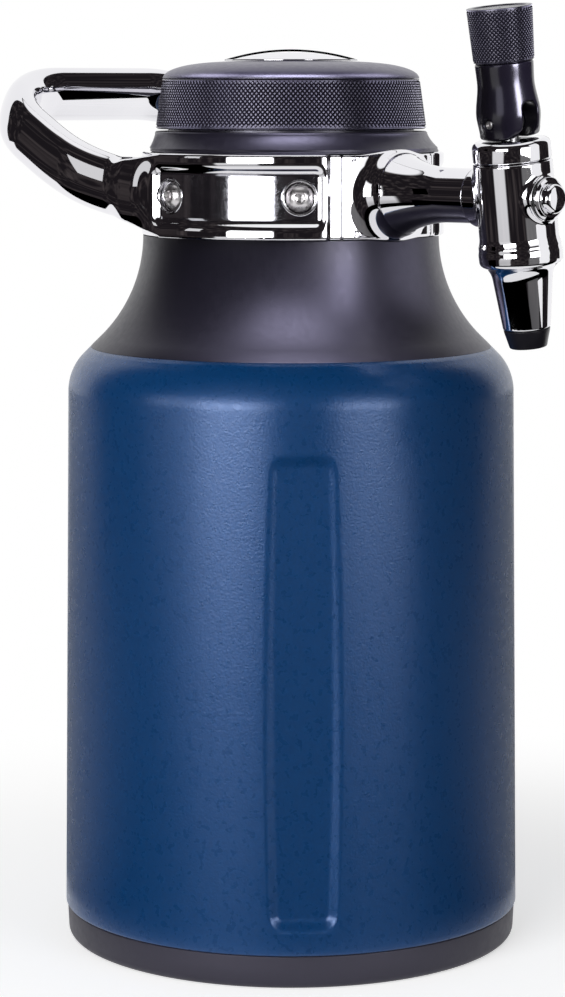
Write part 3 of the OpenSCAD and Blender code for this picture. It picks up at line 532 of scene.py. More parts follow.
def bodyAngles():
    s, rows = body, bodyRows
    angles = set(np.round(np.arange(0, 360, rows["turn"]), rows["digits"]))
    widest = math.degrees(math.asin((s["panelHalf"] + s["panelSwell"]) / bodyR))
    for turn in s["panelTurns"]:
        for side in (-1, 1):
            fine = turn + side * (widest + np.arange(*rows["panelSide"]))
            angles |= set(np.round(fine % 360, rows["digits"]))
    return np.radians(sorted(angles))


def makeBody():
    angles = bodyAngles()
    outline = bodyOutline()
    outside = [(radius, height, 0) for radius, height in outline]
    inside = [(radius, height, body["wall"]) for radius, height in reversed(outline)]
    rows = []
    for radius, height, thin in outside + inside:
        x, y = bodySurface(radius, height, angles)
        shrink = 1 - thin / np.hypot(x, y)
        rows.append(np.stack([x * shrink, y * shrink, np.full_like(x, height)], 1))
    around = len(angles)
    faces = []
    for i in range(len(rows)):
        faces.extend(ringFaces((i * around, around), ((i + 1) % len(rows) * around, around), around))
    addPiece("bodyShell", np.concatenate(rows), faces, "vessel", "blue_coat", ["outer_shell"], sharp=50)


# cover: the black shoulder that hollows up to the collar
cover = {"wall": 1.2, "neckR": 44.0, "topGap": 0.1, "seamGap": 0.05, "lipUnder": 0.2, "lipIn": 0.3,
         "lipUp": 0.35, "slopeTurn": 225, "topTurn": 180, "steps": 40}


def makeCover():
    s = body
    past = math.sqrt(2) - 1  # how far the slope's line runs past a round, as a share of the round
    slopeSum = s["shoulderR"] + s["shoulderZ"] + past * s["shoulderRound"]
    topZ = collarZ - cover["topGap"]
    bend = (cover["neckR"] + topZ - slopeSum) / past
    middle = (cover["neckR"] + bend, topZ)
    seam = [(slopeSum - s["seamZ"] - cover["seamGap"], s["seamZ"] + cover["seamGap"])]
    thin = cover["wall"] / math.sqrt(2)
    line = moved(seam, -thin, -thin) + moved(seam, -cover["lipUnder"], -cover["lipUnder"])
    line += moved(seam, -cover["seamGap"], 0) + moved(seam, -cover["lipIn"], cover["lipUp"])
    line += arcLine(middle, bend, cover["slopeTurn"], cover["topTurn"], cover["steps"])
    line += arcLine(middle, bend + cover["wall"], cover["topTurn"], cover["slopeTurn"], cover["steps"])
    addTurned("shoulderCover", line, fineAround, "vessel", "cover_black", ["shoulder_cover"])


# trim: the black flange between collar and dial, its foot set towards the tap
trim = {"footR": 42.9, "topR": 40.4, "shift": 1.6, "lipH": 1.2, "boreR": 36.95, "hollow": 1.5, "steps": 24,
        "foot": [(-0.2, 0, 0.3), (0, 0.6, 0.4)], "lipIn": 0.15, "topEdge": 0.3, "slack": 0.01}


def makeTrim():
    s = trim
    low, high = heightsOf("neck_trim_ring")
    foot = low + s["lipH"]
    line = softLine([(s["boreR"], low)] + moved(s["foot"], s["footR"], low))
    for share in np.linspace(0, 1, s["steps"]):
        radius = s["topR"] + (s["footR"] - s["lipIn"] - s["topR"]) * (1 - share) ** s["hollow"]
        line.append((radius, foot + (high - s["topEdge"] - foot) * share))
    line += [(s["topR"] - s["topEdge"], high), (s["boreR"], high)]

    def shiftAt(height):
        return s["shift"] * (1 - np.clip((height - low) / (high - low), 0, 1)) ** s["hollow"]

    points, faces = turnedMesh(line, fineAround, shiftAt)
    away = np.hypot(points[:, 0], points[:, 1])
    inner = away < s["boreR"] + s["shift"] + s["slack"]
    points[inner, :2] *= (s["boreR"] / away[inner])[:, None]  # the bore stays round about the neck
    addPiece("neckTrim", points, faces, "vessel", "trim_black", ["neck_trim_ring"])


# collar: the chrome clamp with its pads, pockets and loop handle
collar = {"boreR": 38.1, "outR": 44.4, "edge": 0.9, "innerEdge": 0.5, "boreEdge": 0.4, "joint": 23.9,
          "padR": 45.5, "padStart": 29, "padBack": 9, "padIn": 2, "padEnd": 1.6, "pocketStart": 30.5,
          "pocketBack": 10, "pocketRim": 3.5, "pocketDepth": 1.5, "pocketLean": 1.1, "pocketCorner": 3.0,
          "pocketRound": 0.7, "pocketEdge": 0.8, "dullNear": 0.12, "screwTurn": 39.7, "screwBack": 4,
          "cupR": 4.8, "cupDepth": 1.4, "cupEdge": 0.4, "margin": 1, "cell": 0.5}
handle = {"half": 44.3, "start": 8, "sweep": 115, "slope": 28, "straight": 6.3, "corner": 27, "legStart": 14,
          "legRound": 5, "wide": 5.1, "tall": 8.8, "power": 2.4, "blend": 5.0, "taperTo": 9, "tuck": 2.6,
          "tuckFrom": 50, "tuckLong": 28}
root = {"ahead": 3, "thin": 0.8, "boreGap": 0.8, "legIn": 2.5, "frontRound": 2.5, "backRound": 5.0}


def bandField(x, y, z):
    s = collar
    radius = np.hypot(x, y)
    up = np.abs(z - collarMid) - collarHalf
    return both(both(radius - s["outR"], up, s["edge"]), s["boreR"] - radius, s["innerEdge"])


def sideR(x, y):
    # the pads follow the round to the side of the neck and run straight back from there
    return np.where(x > 0, np.hypot(x, y), y)


def sideArc(x, y):
    # way along a pad, from the front
    ahead = collar["padR"] * np.arctan2(y, np.maximum(x, 1e-6))
    return np.where(x > 0, ahead, collar["padR"] * math.pi / 2 - x)


def legField(x, y, z):
    s = handle
    slope = math.radians(s["slope"])
    back, down = -s["start"] - x, collarMid + s["sweep"] - z
    angle = np.arctan2(back, down)
    lift = np.where(angle < 0, z - collarMid, s["sweep"] - np.hypot(back, down))
    tuck = s["tuck"] * eased(np.clip((x + s["tuckFrom"]) / s["tuckLong"], 0, 1))  # drawn in at the collar
    leg = ovalField(y - s["half"] + tuck, lift, s["wide"], s["tall"], s["power"])
    leg = np.maximum(leg, (angle - slope) * s["sweep"])
    leg = both(leg, x + s["legStart"], s["legRound"])
    loopX = -s["start"] - s["sweep"] * math.sin(slope)
    loopZ = collarMid + s["sweep"] * (1 - math.cos(slope))
    along = -(x - loopX) * math.cos(slope) + (z - loopZ) * math.sin(slope)
    over = (x - loopX) * math.sin(slope) + (z - loopZ) * math.cos(slope)
    a, b = along - s["straight"], y - (s["half"] - s["corner"])
    away = np.where((a > 0) & (b > 0), np.hypot(a, b), np.maximum(a, b)) - s["corner"]
    loop = ovalField(away, over, s["wide"], s["tall"], s["power"])
    return np.minimum(leg, np.maximum(loop, -along))


def rootField(x, y, z):
    # web that grows out of the collar's side and narrows to the leg
    s = handle
    taper = math.radians(s["taperTo"])
    back = s["start"] + s["sweep"] * math.sin(taper)
    rise = s["sweep"] * (1 - math.cos(taper))
    share = eased(np.clip((-x - s["start"] + root["ahead"]) / (back - s["start"] + root["ahead"]), 0, 1))
    middle = collarMid + rise * share
    half = collarHalf + (s["tall"] - root["thin"] - collarHalf) * share
    inner = collar["boreR"] + root["boreGap"]
    inner = inner + (s["half"] - root["legIn"] - inner) * share
    web = both(np.abs(z - middle) - half, np.maximum(y - collar["padR"], inner - y), collar["edge"])
    return both(both(web, x + root["ahead"], root["frontRound"]), -x - back, root["backRound"])


def collarField(p):
    x, y, z = p[:, 0], np.abs(p[:, 1]), p[:, 2]
    s = collar
    radius = np.hypot(x, y)
    up = z - collarMid
    joint = math.radians(s["joint"])
    band = both(bandField(x, y, z), x * math.sin(joint) - y * math.cos(joint), s["innerEdge"])
    side, arc = sideR(x, y), sideArc(x, y)
    pad = both(side - s["padR"], np.abs(up) - collarHalf, s["edge"])
    pad = both(pad, s["boreR"] + s["padIn"] - radius, s["innerEdge"])
    padEnds = np.maximum(s["padR"] * math.radians(s["padStart"]) - arc, -x - s["padBack"])
    form = join(band, both(pad, padEnds, s["padEnd"]), s["edge"])
    legs = join(rootField(x, y, z), legField(x, y, z), handle["blend"])
    form = both(np.minimum(form, legs), s["boreR"] - radius, s["boreEdge"])
    floorR = s["padR"] - s["pocketDepth"]
    first = s["padR"] * math.radians(s["pocketStart"])
    last = s["padR"] * math.pi / 2 + s["pocketBack"]
    pocket = boxField(arc - (first + last) / 2, up, (last - first) / 2, collarHalf - s["pocketRim"],
                      s["pocketCorner"])
    pocket = (pocket + s["pocketLean"] * (s["padR"] - side)) / math.hypot(1, s["pocketLean"])
    form = cut(form, both(pocket, floorR - side, s["pocketRound"]), s["pocketEdge"])
    turn = math.radians(s["screwTurn"])
    ahead, across = x * math.cos(turn) + y * math.sin(turn), y * math.cos(turn) - x * math.sin(turn)
    for out, away in ((ahead, np.hypot(across, up)), (y, np.hypot(x + s["screwBack"], up))):
        well = both(away - s["cupR"], floorR - s["cupDepth"] - out, s["cupEdge"])
        form = cut(form, well, s["cupEdge"])
    return form


def makeCollar():
    s = collar
    low, high = spanOf("handle_collar")
    points, faces, normals = fieldMesh(collarField, low - s["margin"], high + s["margin"], s["cell"])
    piece = addPiece("collarHandle", points, faces, "vessel", "chrome", ["handle_collar"], normals)
    piece.data.materials.append(pocketFinish)  # the pockets' floors are less polished
    middles = points[np.array(faces)].mean(1)
    side = sideR(middles[:, 0], np.abs(middles[:, 1]))
    dull = np.abs(side - s["padR"] + s["pocketDepth"]) < s["dullNear"]
    dull &= middles[:, 0] > -s["pocketBack"]
    piece.data.polygons.foreach_set("material_index", dull.astype(int))


# saddle: the front of the clamp with the flared shank
saddle = {"turn": 23.7, "shankR": 7.8, "flareR": 11.2, "flareRound": 45, "flareEnd": 66, "shankStart": 41.5,
          "shankEdge": 0.4, "blend": 6.0, "boxStart": 33, "boxHalf": 20, "margin": 1, "cell": 0.45}


def saddleField(p):
    x, y, z = p[:, 0], np.abs(p[:, 1]), p[:, 2]
    s = saddle
    turn = math.radians(s["turn"])
    band = both(bandField(x, y, z), y * math.cos(turn) - x * math.sin(turn), collar["innerEdge"])
    flareLen = math.sqrt(s["flareRound"] ** 2 - (s["flareRound"] - s["flareR"] + s["shankR"]) ** 2)
    before = np.clip(s["flareEnd"] - x, 0, flareLen)
    rest = np.sqrt(s["flareRound"] ** 2 - before ** 2)
    grown = s["shankR"] + s["flareRound"] - rest
    shank = (np.hypot(y, z - tapZ) - grown) * rest / s["flareRound"]
    shank = both(shank, x - spanOf("tap_saddle")[1][0], s["shankEdge"])
    shank = both(shank, s["shankStart"] - x, s["shankEdge"])
    form = join(band, shank, s["blend"])
    return both(form, collar["boreR"] - np.hypot(x, y), collar["boreEdge"])


def makeSaddle():
    s = saddle
    low, high = spanOf("tap_saddle")
    low[0], low[1], high[1] = s["boxStart"], -s["boxHalf"], s["boxHalf"]
    points, faces, normals = fieldMesh(saddleField, low - s["margin"], high + s["margin"], s["cell"])
    addPiece("tapSaddle", points, faces, "vessel", "chrome", ["tap_saddle"], normals)


# screws: four button heads with a hexagon socket, each in a raised cup
screw = {"headR": 4.0, "headH": 2.3, "headEdge": 0.25, "rimH": 0.2, "domeFrom": 0.15, "domeRows": 8,
         "domeIn": 0.72, "domeUp": 0.15, "hexAcross": 2.6, "hexDeep": 1.5, "hexEdge": 0.12, "hexLip": 0.02,
         "hexPoint": 0.4, "around": 48, "shankR": 1.9, "shankDeep": 3.0, "seatGap": 0.1, "turns": (0.3, 0.4)}
cup = {"outline": [(-0.12, -1.4), (-0.12, 0.2, 0.18), (0.4, 0.2, 0.3), (0.65, -0.9)], "around": 64}


def screwMesh():
    s = screw
    angles = 2 * math.pi * np.arange(s["around"]) / s["around"]
    sixth = math.pi / 3
    hexR = s["hexAcross"] / 2 / np.cos((angles % sixth) - sixth / 2)
    rim = np.ones_like(angles)
    domeR = (s["headR"] ** 2 + s["headH"] ** 2) / (2 * s["headH"])
    rows = [(rim * s["shankR"], -s["shankDeep"]), (rim * s["shankR"], 0.0),
            (rim * (s["headR"] - s["headEdge"]), 0.0), (rim * s["headR"], s["rimH"])]
    for share in np.linspace(s["domeFrom"], 1, s["domeRows"]):
        radius = s["headR"] + (s["hexAcross"] * s["domeIn"] - s["headR"]) * share
        height = s["headH"] - domeR + math.sqrt(domeR ** 2 - radius ** 2) + s["domeUp"]
        rows.append((rim * radius, height))
    topH = rows[-1][1]
    floorH = topH - s["hexDeep"]
    rows += [(hexR + s["hexEdge"], topH + s["hexLip"]), (hexR, topH - s["hexEdge"]), (hexR, floorH)]
    points = [(0, 0, -s["shankDeep"])]
    for radius, height in rows:
        points.extend(zip(radius * np.cos(angles), radius * np.sin(angles), [height] * s["around"]))
    points.append((0, 0, floorH - s["hexPoint"]))
    starts = [(0, 1)] + [(1 + i * s["around"], s["around"]) for i in range(len(rows))]
    starts.append((len(points) - 1, 1))
    faces = []
    for i in range(len(starts) - 1):
        faces.extend(ringFaces(starts[i], starts[i + 1], s["around"]))
    return np.array(points, float), faces


def screwPlaces():
    # frames whose Z points out of each screw's seat at the pocket's floor
    floorR = collar["padR"] - collar["pocketDepth"]
    out = Matrix.Translation((floorR, 0, 0)) @ Matrix.Rotation(math.radians(90), 4, "Y")
    places = []
    for side in (-1, 1):
        for back, turn in ((0, collar["screwTurn"]), (-collar["screwBack"], 90)):
            shift = Matrix.Translation((back, 0, collarMid))
            places.append(shift @ Matrix.Rotation(math.radians(side * turn), 4, "Z") @ out)
    return places


def repeated(mesh, places):
    points, faces = [], []
    for place in places:
        faces += [tuple(i + len(points) for i in face) for face in mesh[1]]
        points += placed(mesh[0], place).tolist()
    return points, faces


def makeScrews():
    seat = Matrix.Translation((0, 0, screw["seatGap"] - collar["cupDepth"]))
    first, step = screw["turns"]
    places = [place @ seat @ Matrix.Rotation(first + step * k, 4, "Z")
              for k, place in enumerate(screwPlaces())]
    points, faces = repeated(screwMesh(), places)
    addPiece("collarScrews", points, faces, "vessel", "screw_steel", ["collar_screws"], sharp=30)
    line = softLine(moved(cup["outline"], collar["cupR"], 0))
    points, faces = repeated(turnedMesh(line, cup["around"]), screwPlaces())
    addPiece("screwCups", points, faces, "vessel", "chrome", sharp=60)


# faucet: chrome body, ring, cone and spout in the tap's own frame
faucet = {"bodyR": 11.0, "up": 10.3, "low": -16, "edge": 0.7, "ringR": 11.35, "ringLow": -18,
          "ringHigh": -14.7, "ringEdge": 1.2, "ringBlend": 0.5, "spoutTop": -21.8, "spoutTopR": 8.4,
          "spoutEnd": -36.6, "spoutEndR": 6.6, "spoutStart": -15, "spoutEdge": 0.5, "spoutBlend": 4.5,
          "jointR": 8.8, "jointX": -13.2, "jointEdge": 0.9, "jointBlend": 1.2, "bossR": 6.3, "bossX": 11.4,
          "bossEdge": 0.5, "bossBlend": 1.4, "bore": 4.2, "boreTop": -12, "boreRound": 0.5, "boreEdge": 0.4,
          "margin": 1, "bossMargin": 1.5, "cell": 0.42}


def faucetField(p):
    s = faucet
    x, y, z = p[:, 0], p[:, 1], p[:, 2]
    radius, away = np.hypot(x, y), np.hypot(y, z)
    form = both(radius - s["bodyR"], np.maximum(z - s["up"], s["low"] - z), s["edge"])
    middle, half = (s["ringLow"] + s["ringHigh"]) / 2, (s["ringHigh"] - s["ringLow"]) / 2
    ring = both(radius - s["ringR"], np.abs(z - middle) - half, s["ringEdge"])
    form = join(form, ring, s["ringBlend"])
    fall = (s["spoutTopR"] - s["spoutEndR"]) / (s["spoutTop"] - s["spoutEnd"])
    spout = (radius - s["spoutEndR"] - fall * (z - s["spoutEnd"])) / math.hypot(1, fall)
    spout = both(spout, np.maximum(s["spoutEnd"] - z, z - s["spoutStart"]), s["spoutEdge"])
    form = join(form, spout, s["spoutBlend"])
    jointRing = both(away - s["jointR"], np.maximum(s["jointX"] - x, x), s["jointEdge"])
    boss = both(away - s["bossR"], np.maximum(-x, x - s["bossX"]), s["bossEdge"])
    form = join(join(form, jointRing, s["jointBlend"]), boss, s["bossBlend"])
    return cut(form, both(radius - s["bore"], z - s["boreTop"], s["boreRound"]), s["boreEdge"])


def makeFaucet():
    s = faucet
    reach = s["ringR"] + s["margin"]
    low = (s["jointX"] - s["margin"], -reach, s["spoutEnd"] - s["margin"])
    high = (s["bossX"] + s["bossMargin"], reach, s["up"] + s["margin"])
    points, faces, normals = fieldMesh(faucetField, low, high, s["cell"])
    addPiece("faucetBody", points, faces, "vessel", "chrome", ["faucet_body"], normals, place=tapPlace)


# small turned pieces of the tap; outlines are (radius, height, round) from each one's own start
tapPieces = {
    "spoutTip": {"node": "spout_tip", "slot": "spout_black", "start": -36.7, "lay": 0, "sharp": 38,
                 "steps": roundSteps, "around": smallAround,
                 "outline": [(4.2, -5.3, 0.3), (5.2, -5.3, 0.5), (6.35, -0.9, 0.4), (6.55, 0, 0.2),
                             (4.2, 0)]},
    "faucetBonnet": {"node": "bonnet", "slot": "chrome", "start": 10.45, "lay": 0, "sharp": 50,
                     "steps": roundSteps, "around": 192,
                     "outline": [(2.5, 0), (10.55, 0, 0.15), (10.9, 0.4, 0.3), (10.9, 5.95, 2.0),
                                 (2.8, 5.95, 0.2), (2.5, 5.45)]},
    "frontPlug": {"node": "front_plug", "slot": "chrome", "start": 12.1, "lay": 90, "sharp": 60,
                  "steps": fineSteps, "around": smallAround,
                  "outline": [(0, -4), (3.8, -4), (3.8, 0), (5.9, 0, 0.2), (6.1, 0.6, 0.4), (5.1, 1.2, 0.5),
                              (4.2, 1.1, 0.3), (4.0, 3.5, 1.5), (0, 4.1)]}}


def makeTapPieces():
    for name, s in tapPieces.items():
        line = softLine(moved(s["outline"], 0, s["start"]), s["steps"])
        place = tapPlace @ Matrix.Rotation(math.radians(s["lay"]), 4, "Y")
        addTurned(name, line, s["around"], "vessel", s["slot"], [s["node"]], s["sharp"], place)


# lever: gloss hub with a slot for the stem, its pin, and the knurled grip
lever = {"low": 16.7, "high": 37.8, "edge": 0.7, "footR": 8.3, "footRound": 1.0, "footLeast": 0.02,
         "bulgeR": 8.9, "bulgeUp": 6.8, "waistR": 7.9, "waistUp": 15.5, "topR": 8.1, "slotHalf": 2.95,
         "slotBack": 3.6, "slotTop": 27.1,
         "slotRound": 3.0, "slotEnd": 0.5, "slotEdge": 0.6, "seatR": 1.75, "seatY": 7.9, "seatRound": 0.3,
         "seatEdge": 0.4, "camX": 4, "camSlope": 34, "camEdge": 0.8, "margin": 1, "cell": 0.3}
pin = {"end": [(0, 7.95), (0.42, 7.95, 0.2), (0.72, 8.25, 0.2), (1.2, 8.25, 0.4)], "around": 48}
grip = {"footR": 8.4, "topR": 9.1, "gap": 0.1, "end": 15.25, "knurlFrom": 0.4, "knurlTo": 0.5, "count": 48,
        "rows": 12, "deep": 0.34, "flat": 0.46, "steps": 4, "sharp": 20,
        "top": [(9.1, -0.4), (9.1, 0, 0.35), (7.7, 0, 0.3), (7.3, -0.35, 0.2), (0.4, -0.35)],
        "foot": [(0.4, 0), (8.0, 0, 0.2), (8.4, 0.3)]}


def hubRadius(z):
    s = lever
    height = z - s["low"]
    footRound, bulgeUp, waistUp = s["footRound"], s["bulgeUp"], s["waistUp"]
    short = footRound - np.clip(height, 0, footRound)
    foot = s["footR"] - footRound + np.sqrt(np.maximum(footRound ** 2 - short ** 2, s["footLeast"]))
    toBulge = eased(np.clip((height - footRound) / (bulgeUp - footRound), 0, 1))
    toWaist = eased(np.clip((height - bulgeUp) / (waistUp - bulgeUp), 0, 1))
    toTop = eased(np.clip((height - waistUp) / (s["high"] - s["low"] - waistUp), 0, 1))
    bulged = foot + (s["bulgeR"] - s["footR"]) * toBulge
    return bulged + (s["waistR"] - s["bulgeR"]) * toWaist + (s["topR"] - s["waistR"]) * toTop


def hubField(p):
    s = lever
    x, y, z = p[:, 0], p[:, 1], p[:, 2]
    probe = 0.05
    steep = (hubRadius(z + probe) - hubRadius(z - probe)) / (2 * probe)
    form = (np.hypot(x, y) - hubRadius(z)) / np.sqrt(1 + steep ** 2)
    form = both(form, np.maximum(z - s["high"], s["low"] - z), s["edge"])
    slope = math.radians(s["camSlope"])
    cam = (x - s["camX"]) * math.sin(slope) - (z - s["low"]) * math.cos(slope)
    form = both(form, cam, s["camEdge"])
    slot = both(np.abs(y) - s["slotHalf"], z - s["slotTop"], s["slotRound"])
    form = cut(form, both(slot, -s["slotBack"] - x, s["slotEnd"]), s["slotEdge"])
    seat = both(np.hypot(x, z - pinUp) - s["seatR"], s["seatY"] - np.abs(y), s["seatRound"])
    return cut(form, seat, s["seatEdge"])


def knurlMesh(radiusAt, low, high, s, rest):
    # diamonds with small flats between two plain lips; rest is the line from the upper lip to the lower
    count, flat = s["count"], s["flat"]
    pitch = 2 * math.pi / count
    halfStep = (high - low) / (2 * s["rows"])
    points, faces, corner = [], [], []

    def spot(angle, height, radius):
        points.append((radius * math.cos(angle), radius * math.sin(angle), height))
        return len(points) - 1

    def top(angle, height):
        return spot(angle, height, radiusAt(height))

    for j in range(2 * s["rows"] + 1):
        offset = 0.5 * ((j + 1) % 2)
        height = low + j * halfStep
        radius = radiusAt(height) - s["deep"]
        corner.append([spot((i + offset) * pitch, height, radius) for i in range(count)])
    for j in range(1, 2 * s["rows"]):
        odd = j % 2
        for i in range(count):
            angle, height = (i + 0.5 * odd) * pitch, low + j * halfStep
            sides = (corner[j][i], corner[j][(i + 1) % count]) if odd else (corner[j][i - 1], corner[j][i])
            ring = [sides[0], corner[j - 1][i], sides[1], corner[j + 1][i]]
            tops = [top(angle - flat * pitch / 2, height), top(angle, height - flat * halfStep),
                    top(angle + flat * pitch / 2, height), top(angle, height + flat * halfStep)]
            faces.append(tuple(tops))
            for k in range(4):
                faces.append((ring[k], ring[(k + 1) % 4], tops[(k + 1) % 4], tops[k]))
    for i in range(count):
        nextI = (i + 1) % count
        faces.append((corner[0][i], corner[0][nextI], corner[1][nextI]))
        faces.append((corner[-1][nextI], corner[-1][i], corner[-2][nextI]))
    rows = [corner[-1]]
    for radius, height in rest:
        rows.append([spot((i + 0.5) * pitch, height, radius) for i in range(count)])
    rows.append(corner[0])
    for lower, upper in zip(rows, rows[1:]):
        for i in range(count):
            nextI = (i + 1) % count
            faces.append((lower[i], lower[nextI], upper[nextI], upper[i]))
    return np.array(points, float), faces


def paintTipHighlights(piece, s):
    # the flats of the diamonds are painted lighter than the grooves, a painted highlight for the light they catch
    piece.data.materials.append(glintTipFinish)
    slots = np.zeros(len(piece.data.polygons), int)
    perDiamond = 5  # a flat and four slopes
    slots[0:perDiamond * s["count"] * (2 * s["rows"] - 1):perDiamond] = 1
    piece.data.polygons.foreach_set("material_index", slots)


def makeLever():
    s = lever
    reach = s["bulgeR"] + s["margin"]
    low, high = (-reach, -reach, s["low"] - s["margin"]), (reach, reach, s["high"] + s["margin"])
    points, faces, normals = fieldMesh(hubField, low, high, s["cell"])
    addPiece("leverHub", points, faces, "tap_lever", "gloss_black", ["lever_hub"], normals, place=tapPlace)
    farEnd = [(corner[0], -corner[1], *corner[2:]) for corner in pin["end"]]
    lay = tapPlace @ Matrix.Translation((0, 0, pinUp)) @ Matrix.Rotation(math.radians(-90), 4, "X")
    addTurned("leverPin", softLine(farEnd + pin["end"][::-1]), pin["around"], "tap_stem", slotOf["lever_pin"],
              ["lever_pin"], place=lay)
    foot, end = s["high"] + grip["gap"], s["high"] + grip["end"]

    def gripRadius(height):
        return grip["footR"] + (grip["topR"] - grip["footR"]) * (height - foot) / (end - foot)

    rest = softLine(moved(grip["top"], 0, end) + moved(grip["foot"], 0, foot), grip["steps"])
    points, faces = knurlMesh(gripRadius, foot + grip["knurlFrom"], end - grip["knurlTo"], grip, rest)
    piece = addPiece("leverGrip", points, faces, "tap_lever", "knurl_black", ["lever_grip"],
                     sharp=grip["sharp"], place=tapPlace)
    paintTipHighlights(piece, grip)


# dial: knurled ring, satin crown and chrome badge; the ring's ends are offsets from its top and foot
dial = {"count": 184, "rows": 9, "deep": 0.42, "flat": 0.46, "knurlFrom": 0.75, "knurlTo": 0.5, "steps": 3,
        "sharp": 20, "boreR": 36.95, "proud": 0.1, "lip": 0.4, "top": [(0.05, -0.35), (-0.3, 0, 0.2)],
        "foot": [(-0.5, 0, 0.2), (0, 0.4, 0.15), (-0.05, 0.6)], "crownPower": 4.0, "crownWall": 1.3,
        "crownIn": 0.1, "crownFoot": 0.3, "crownRows": 40, "badgeEdge": 0.35, "badgeSink": 0.9,
        "badgeFoot": 0.1, "badgeIn": 0.05, "badgeRows": 32}


def makeDialRing():
    s = dial
    low, high = heightsOf("dial_ring")
    footR, topR = spanOf("dial_ring")[1][0], spanOf("dial_crown")[1][0] + s["proud"]

    def ringRadius(height):
        return footR + (topR - footR) * np.clip((height - low - s["lip"]) / (high - low - s["lip"]), 0, 1)

    bore = [(s["boreR"], high), (s["boreR"], low)]
    rest = softLine(moved(s["top"], topR, high) + bore + moved(s["foot"], footR, low), s["steps"])
    points, faces = knurlMesh(ringRadius, low + s["knurlFrom"], high - s["knurlTo"], s, rest)
    piece = addPiece("dialRing", points, faces, "dial", "knurl_black", ["dial_ring"], sharp=s["sharp"])
    paintTipHighlights(piece, s)


def makeDialTop():
    s = dial
    low, high = heightsOf("dial_crown")
    crownR, inner = spanOf("dial_crown")[1][0], low + s["crownWall"]
    line = [(0, inner), (s["boreR"] - s["crownIn"], inner), (s["boreR"], low), (crownR - s["crownFoot"], low)]
    for share in np.linspace(0, 1, s["crownRows"])[:-1]:
        radius = crownR * math.cos(share * math.pi / 2)
        line.append((radius, low + (high - low) * (1 - (radius / crownR) ** s["crownPower"]) ** 0.5))
    line.append((0, high))
    addTurned("dialCrown", line, fineAround, "dial", "trim_black", ["dial_crown"], sharp=50)
    low, high = heightsOf("dial_badge")
    high -= s["badgeSink"]
    badgeR, edge = spanOf("dial_badge")[1][0], low + s["badgeEdge"]
    line = [(0, low), (badgeR - s["badgeFoot"], low), (badgeR, low + s["badgeFoot"]),
            (badgeR, edge - s["badgeIn"])]
    for share in np.linspace(0, 1, s["badgeRows"])[:-1]:
        radius = (badgeR - s["badgeIn"]) * math.cos(share * math.pi / 2)
        line.append((radius, high - (high - edge) * (radius / badgeR) ** 2))
    line.append((0, high))
    addTurned("dialBadge", line, fineAround, "dial", "chrome", ["dial_badge"], sharp=40)


# springs: coils for the stem's and the regulator's springs
springs = {
    "stemSpring": {"node": "stem_spring", "body": "vessel", "joint": "stem_lift", "turns": 5, "travel": 2.5,
                   "fixedEnd": "high", "place": tapPlace},
    "regulatorSpring": {"node": "regulator_spring", "body": "gas_insert", "joint": "screw_travel", "turns": 2,
                        "travel": 1.95, "fixedEnd": "low", "place": Matrix.Identity(4)}}


def makeSprings():
    sides, steps = 14, 40  # points around the wire and along each turn
    for name, s in springs.items():
        solid = frame["nodes"][s["node"]]
        back = s["place"].inverted()
        spots = np.array([back @ (solid.matrix_world @ corner.co / mm) for corner in solid.data.vertices])
        reach = np.hypot(spots[:, 0], spots[:, 1])
        wire, coilR = (reach.max() - reach.min()) / 2, (reach.max() + reach.min()) / 2
        low, high = spots[:, 2].min(), spots[:, 2].max()
        count = s["turns"] * steps + 1
        tilts = 2 * math.pi * np.arange(sides) / sides
        points, faces = [], []
        for k in range(count):
            angle = 2 * math.pi * k / steps
            height = low + wire + (high - low - 2 * wire) * k / (count - 1)
            radius = coilR + wire * np.cos(tilts)
            heights = height + wire * np.sin(tilts)
            points.extend(zip(radius * math.cos(angle), radius * math.sin(angle), heights))
        for k in range(count - 1):
            for side in range(sides):
                here, beside = k * sides + side, k * sides + (side + 1) % sides
                faces.append((here, here + sides, beside + sides, beside))
        faces.append(tuple(range(sides)))
        faces.append(tuple(range(count * sides - 1, (count - 1) * sides - 1, -1)))
        piece = addPiece(name, points, faces, s["body"], slotOf[s["node"]], [s["node"]], place=s["place"])
        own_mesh(piece)


makeBoot()
makeBody()
makeCover()
makeTrim()
makeCollar()
makeSaddle()
makeScrews()
makeFaucet()
makeTapPieces()
makeLever()
makeDialRing()
makeDialTop()
makeSprings()
print("pieces done")


# studio: camera, white floor and world; turns are counted from the camera in degrees, right is plus
studio = {"cameraTurn": -43.0, "cameraAway": 0.921, "cameraUp": 0.2533, "sensor": 36, "lensPixels": 3094,
          "shiftY": -0.25, "horizonPixel": 84.2, "axisPixel": 291, "frameWide": 565, "frameTall": 997,
          "ambient": 0.24, "floorWhite": 0.86, "floorGlow": 0.55, "floorFade": (0.10, 0.30),
          "floorRings": (0, 0.2, 0.6, 2.0, 6.0), "floorAround": 96}


def aroundCamera(turn, away, height):
    angle = math.radians(studio["cameraTurn"] + turn)
    return Vector((away * math.cos(angle), away * math.sin(angle), height))


def makeCamera():
    s = studio
    camera = addObject("camera", bpy.data.cameras.new("camera"))
    camera.data.sensor_width = s["sensor"]
    camera.data.lens = s["sensor"] * s["lensPixels"] / s["frameTall"]
    camera.data.shift_y = s["shiftY"]
    middlePixel = s["frameTall"] / 2 + s["shiftY"] * s["frameTall"]
    pitch = math.atan((middlePixel - s["horizonPixel"]) / s["lensPixels"])
    yaw = math.atan((s["axisPixel"] - s["frameWide"] / 2) / s["lensPixels"])
    camera.location = aroundCamera(0, s["cameraAway"], s["cameraUp"])
    camera.rotation_euler = (math.pi / 2 - pitch, 0, math.radians(s["cameraTurn"]) + math.pi / 2 + yaw)
    bpy.context.scene.camera = camera


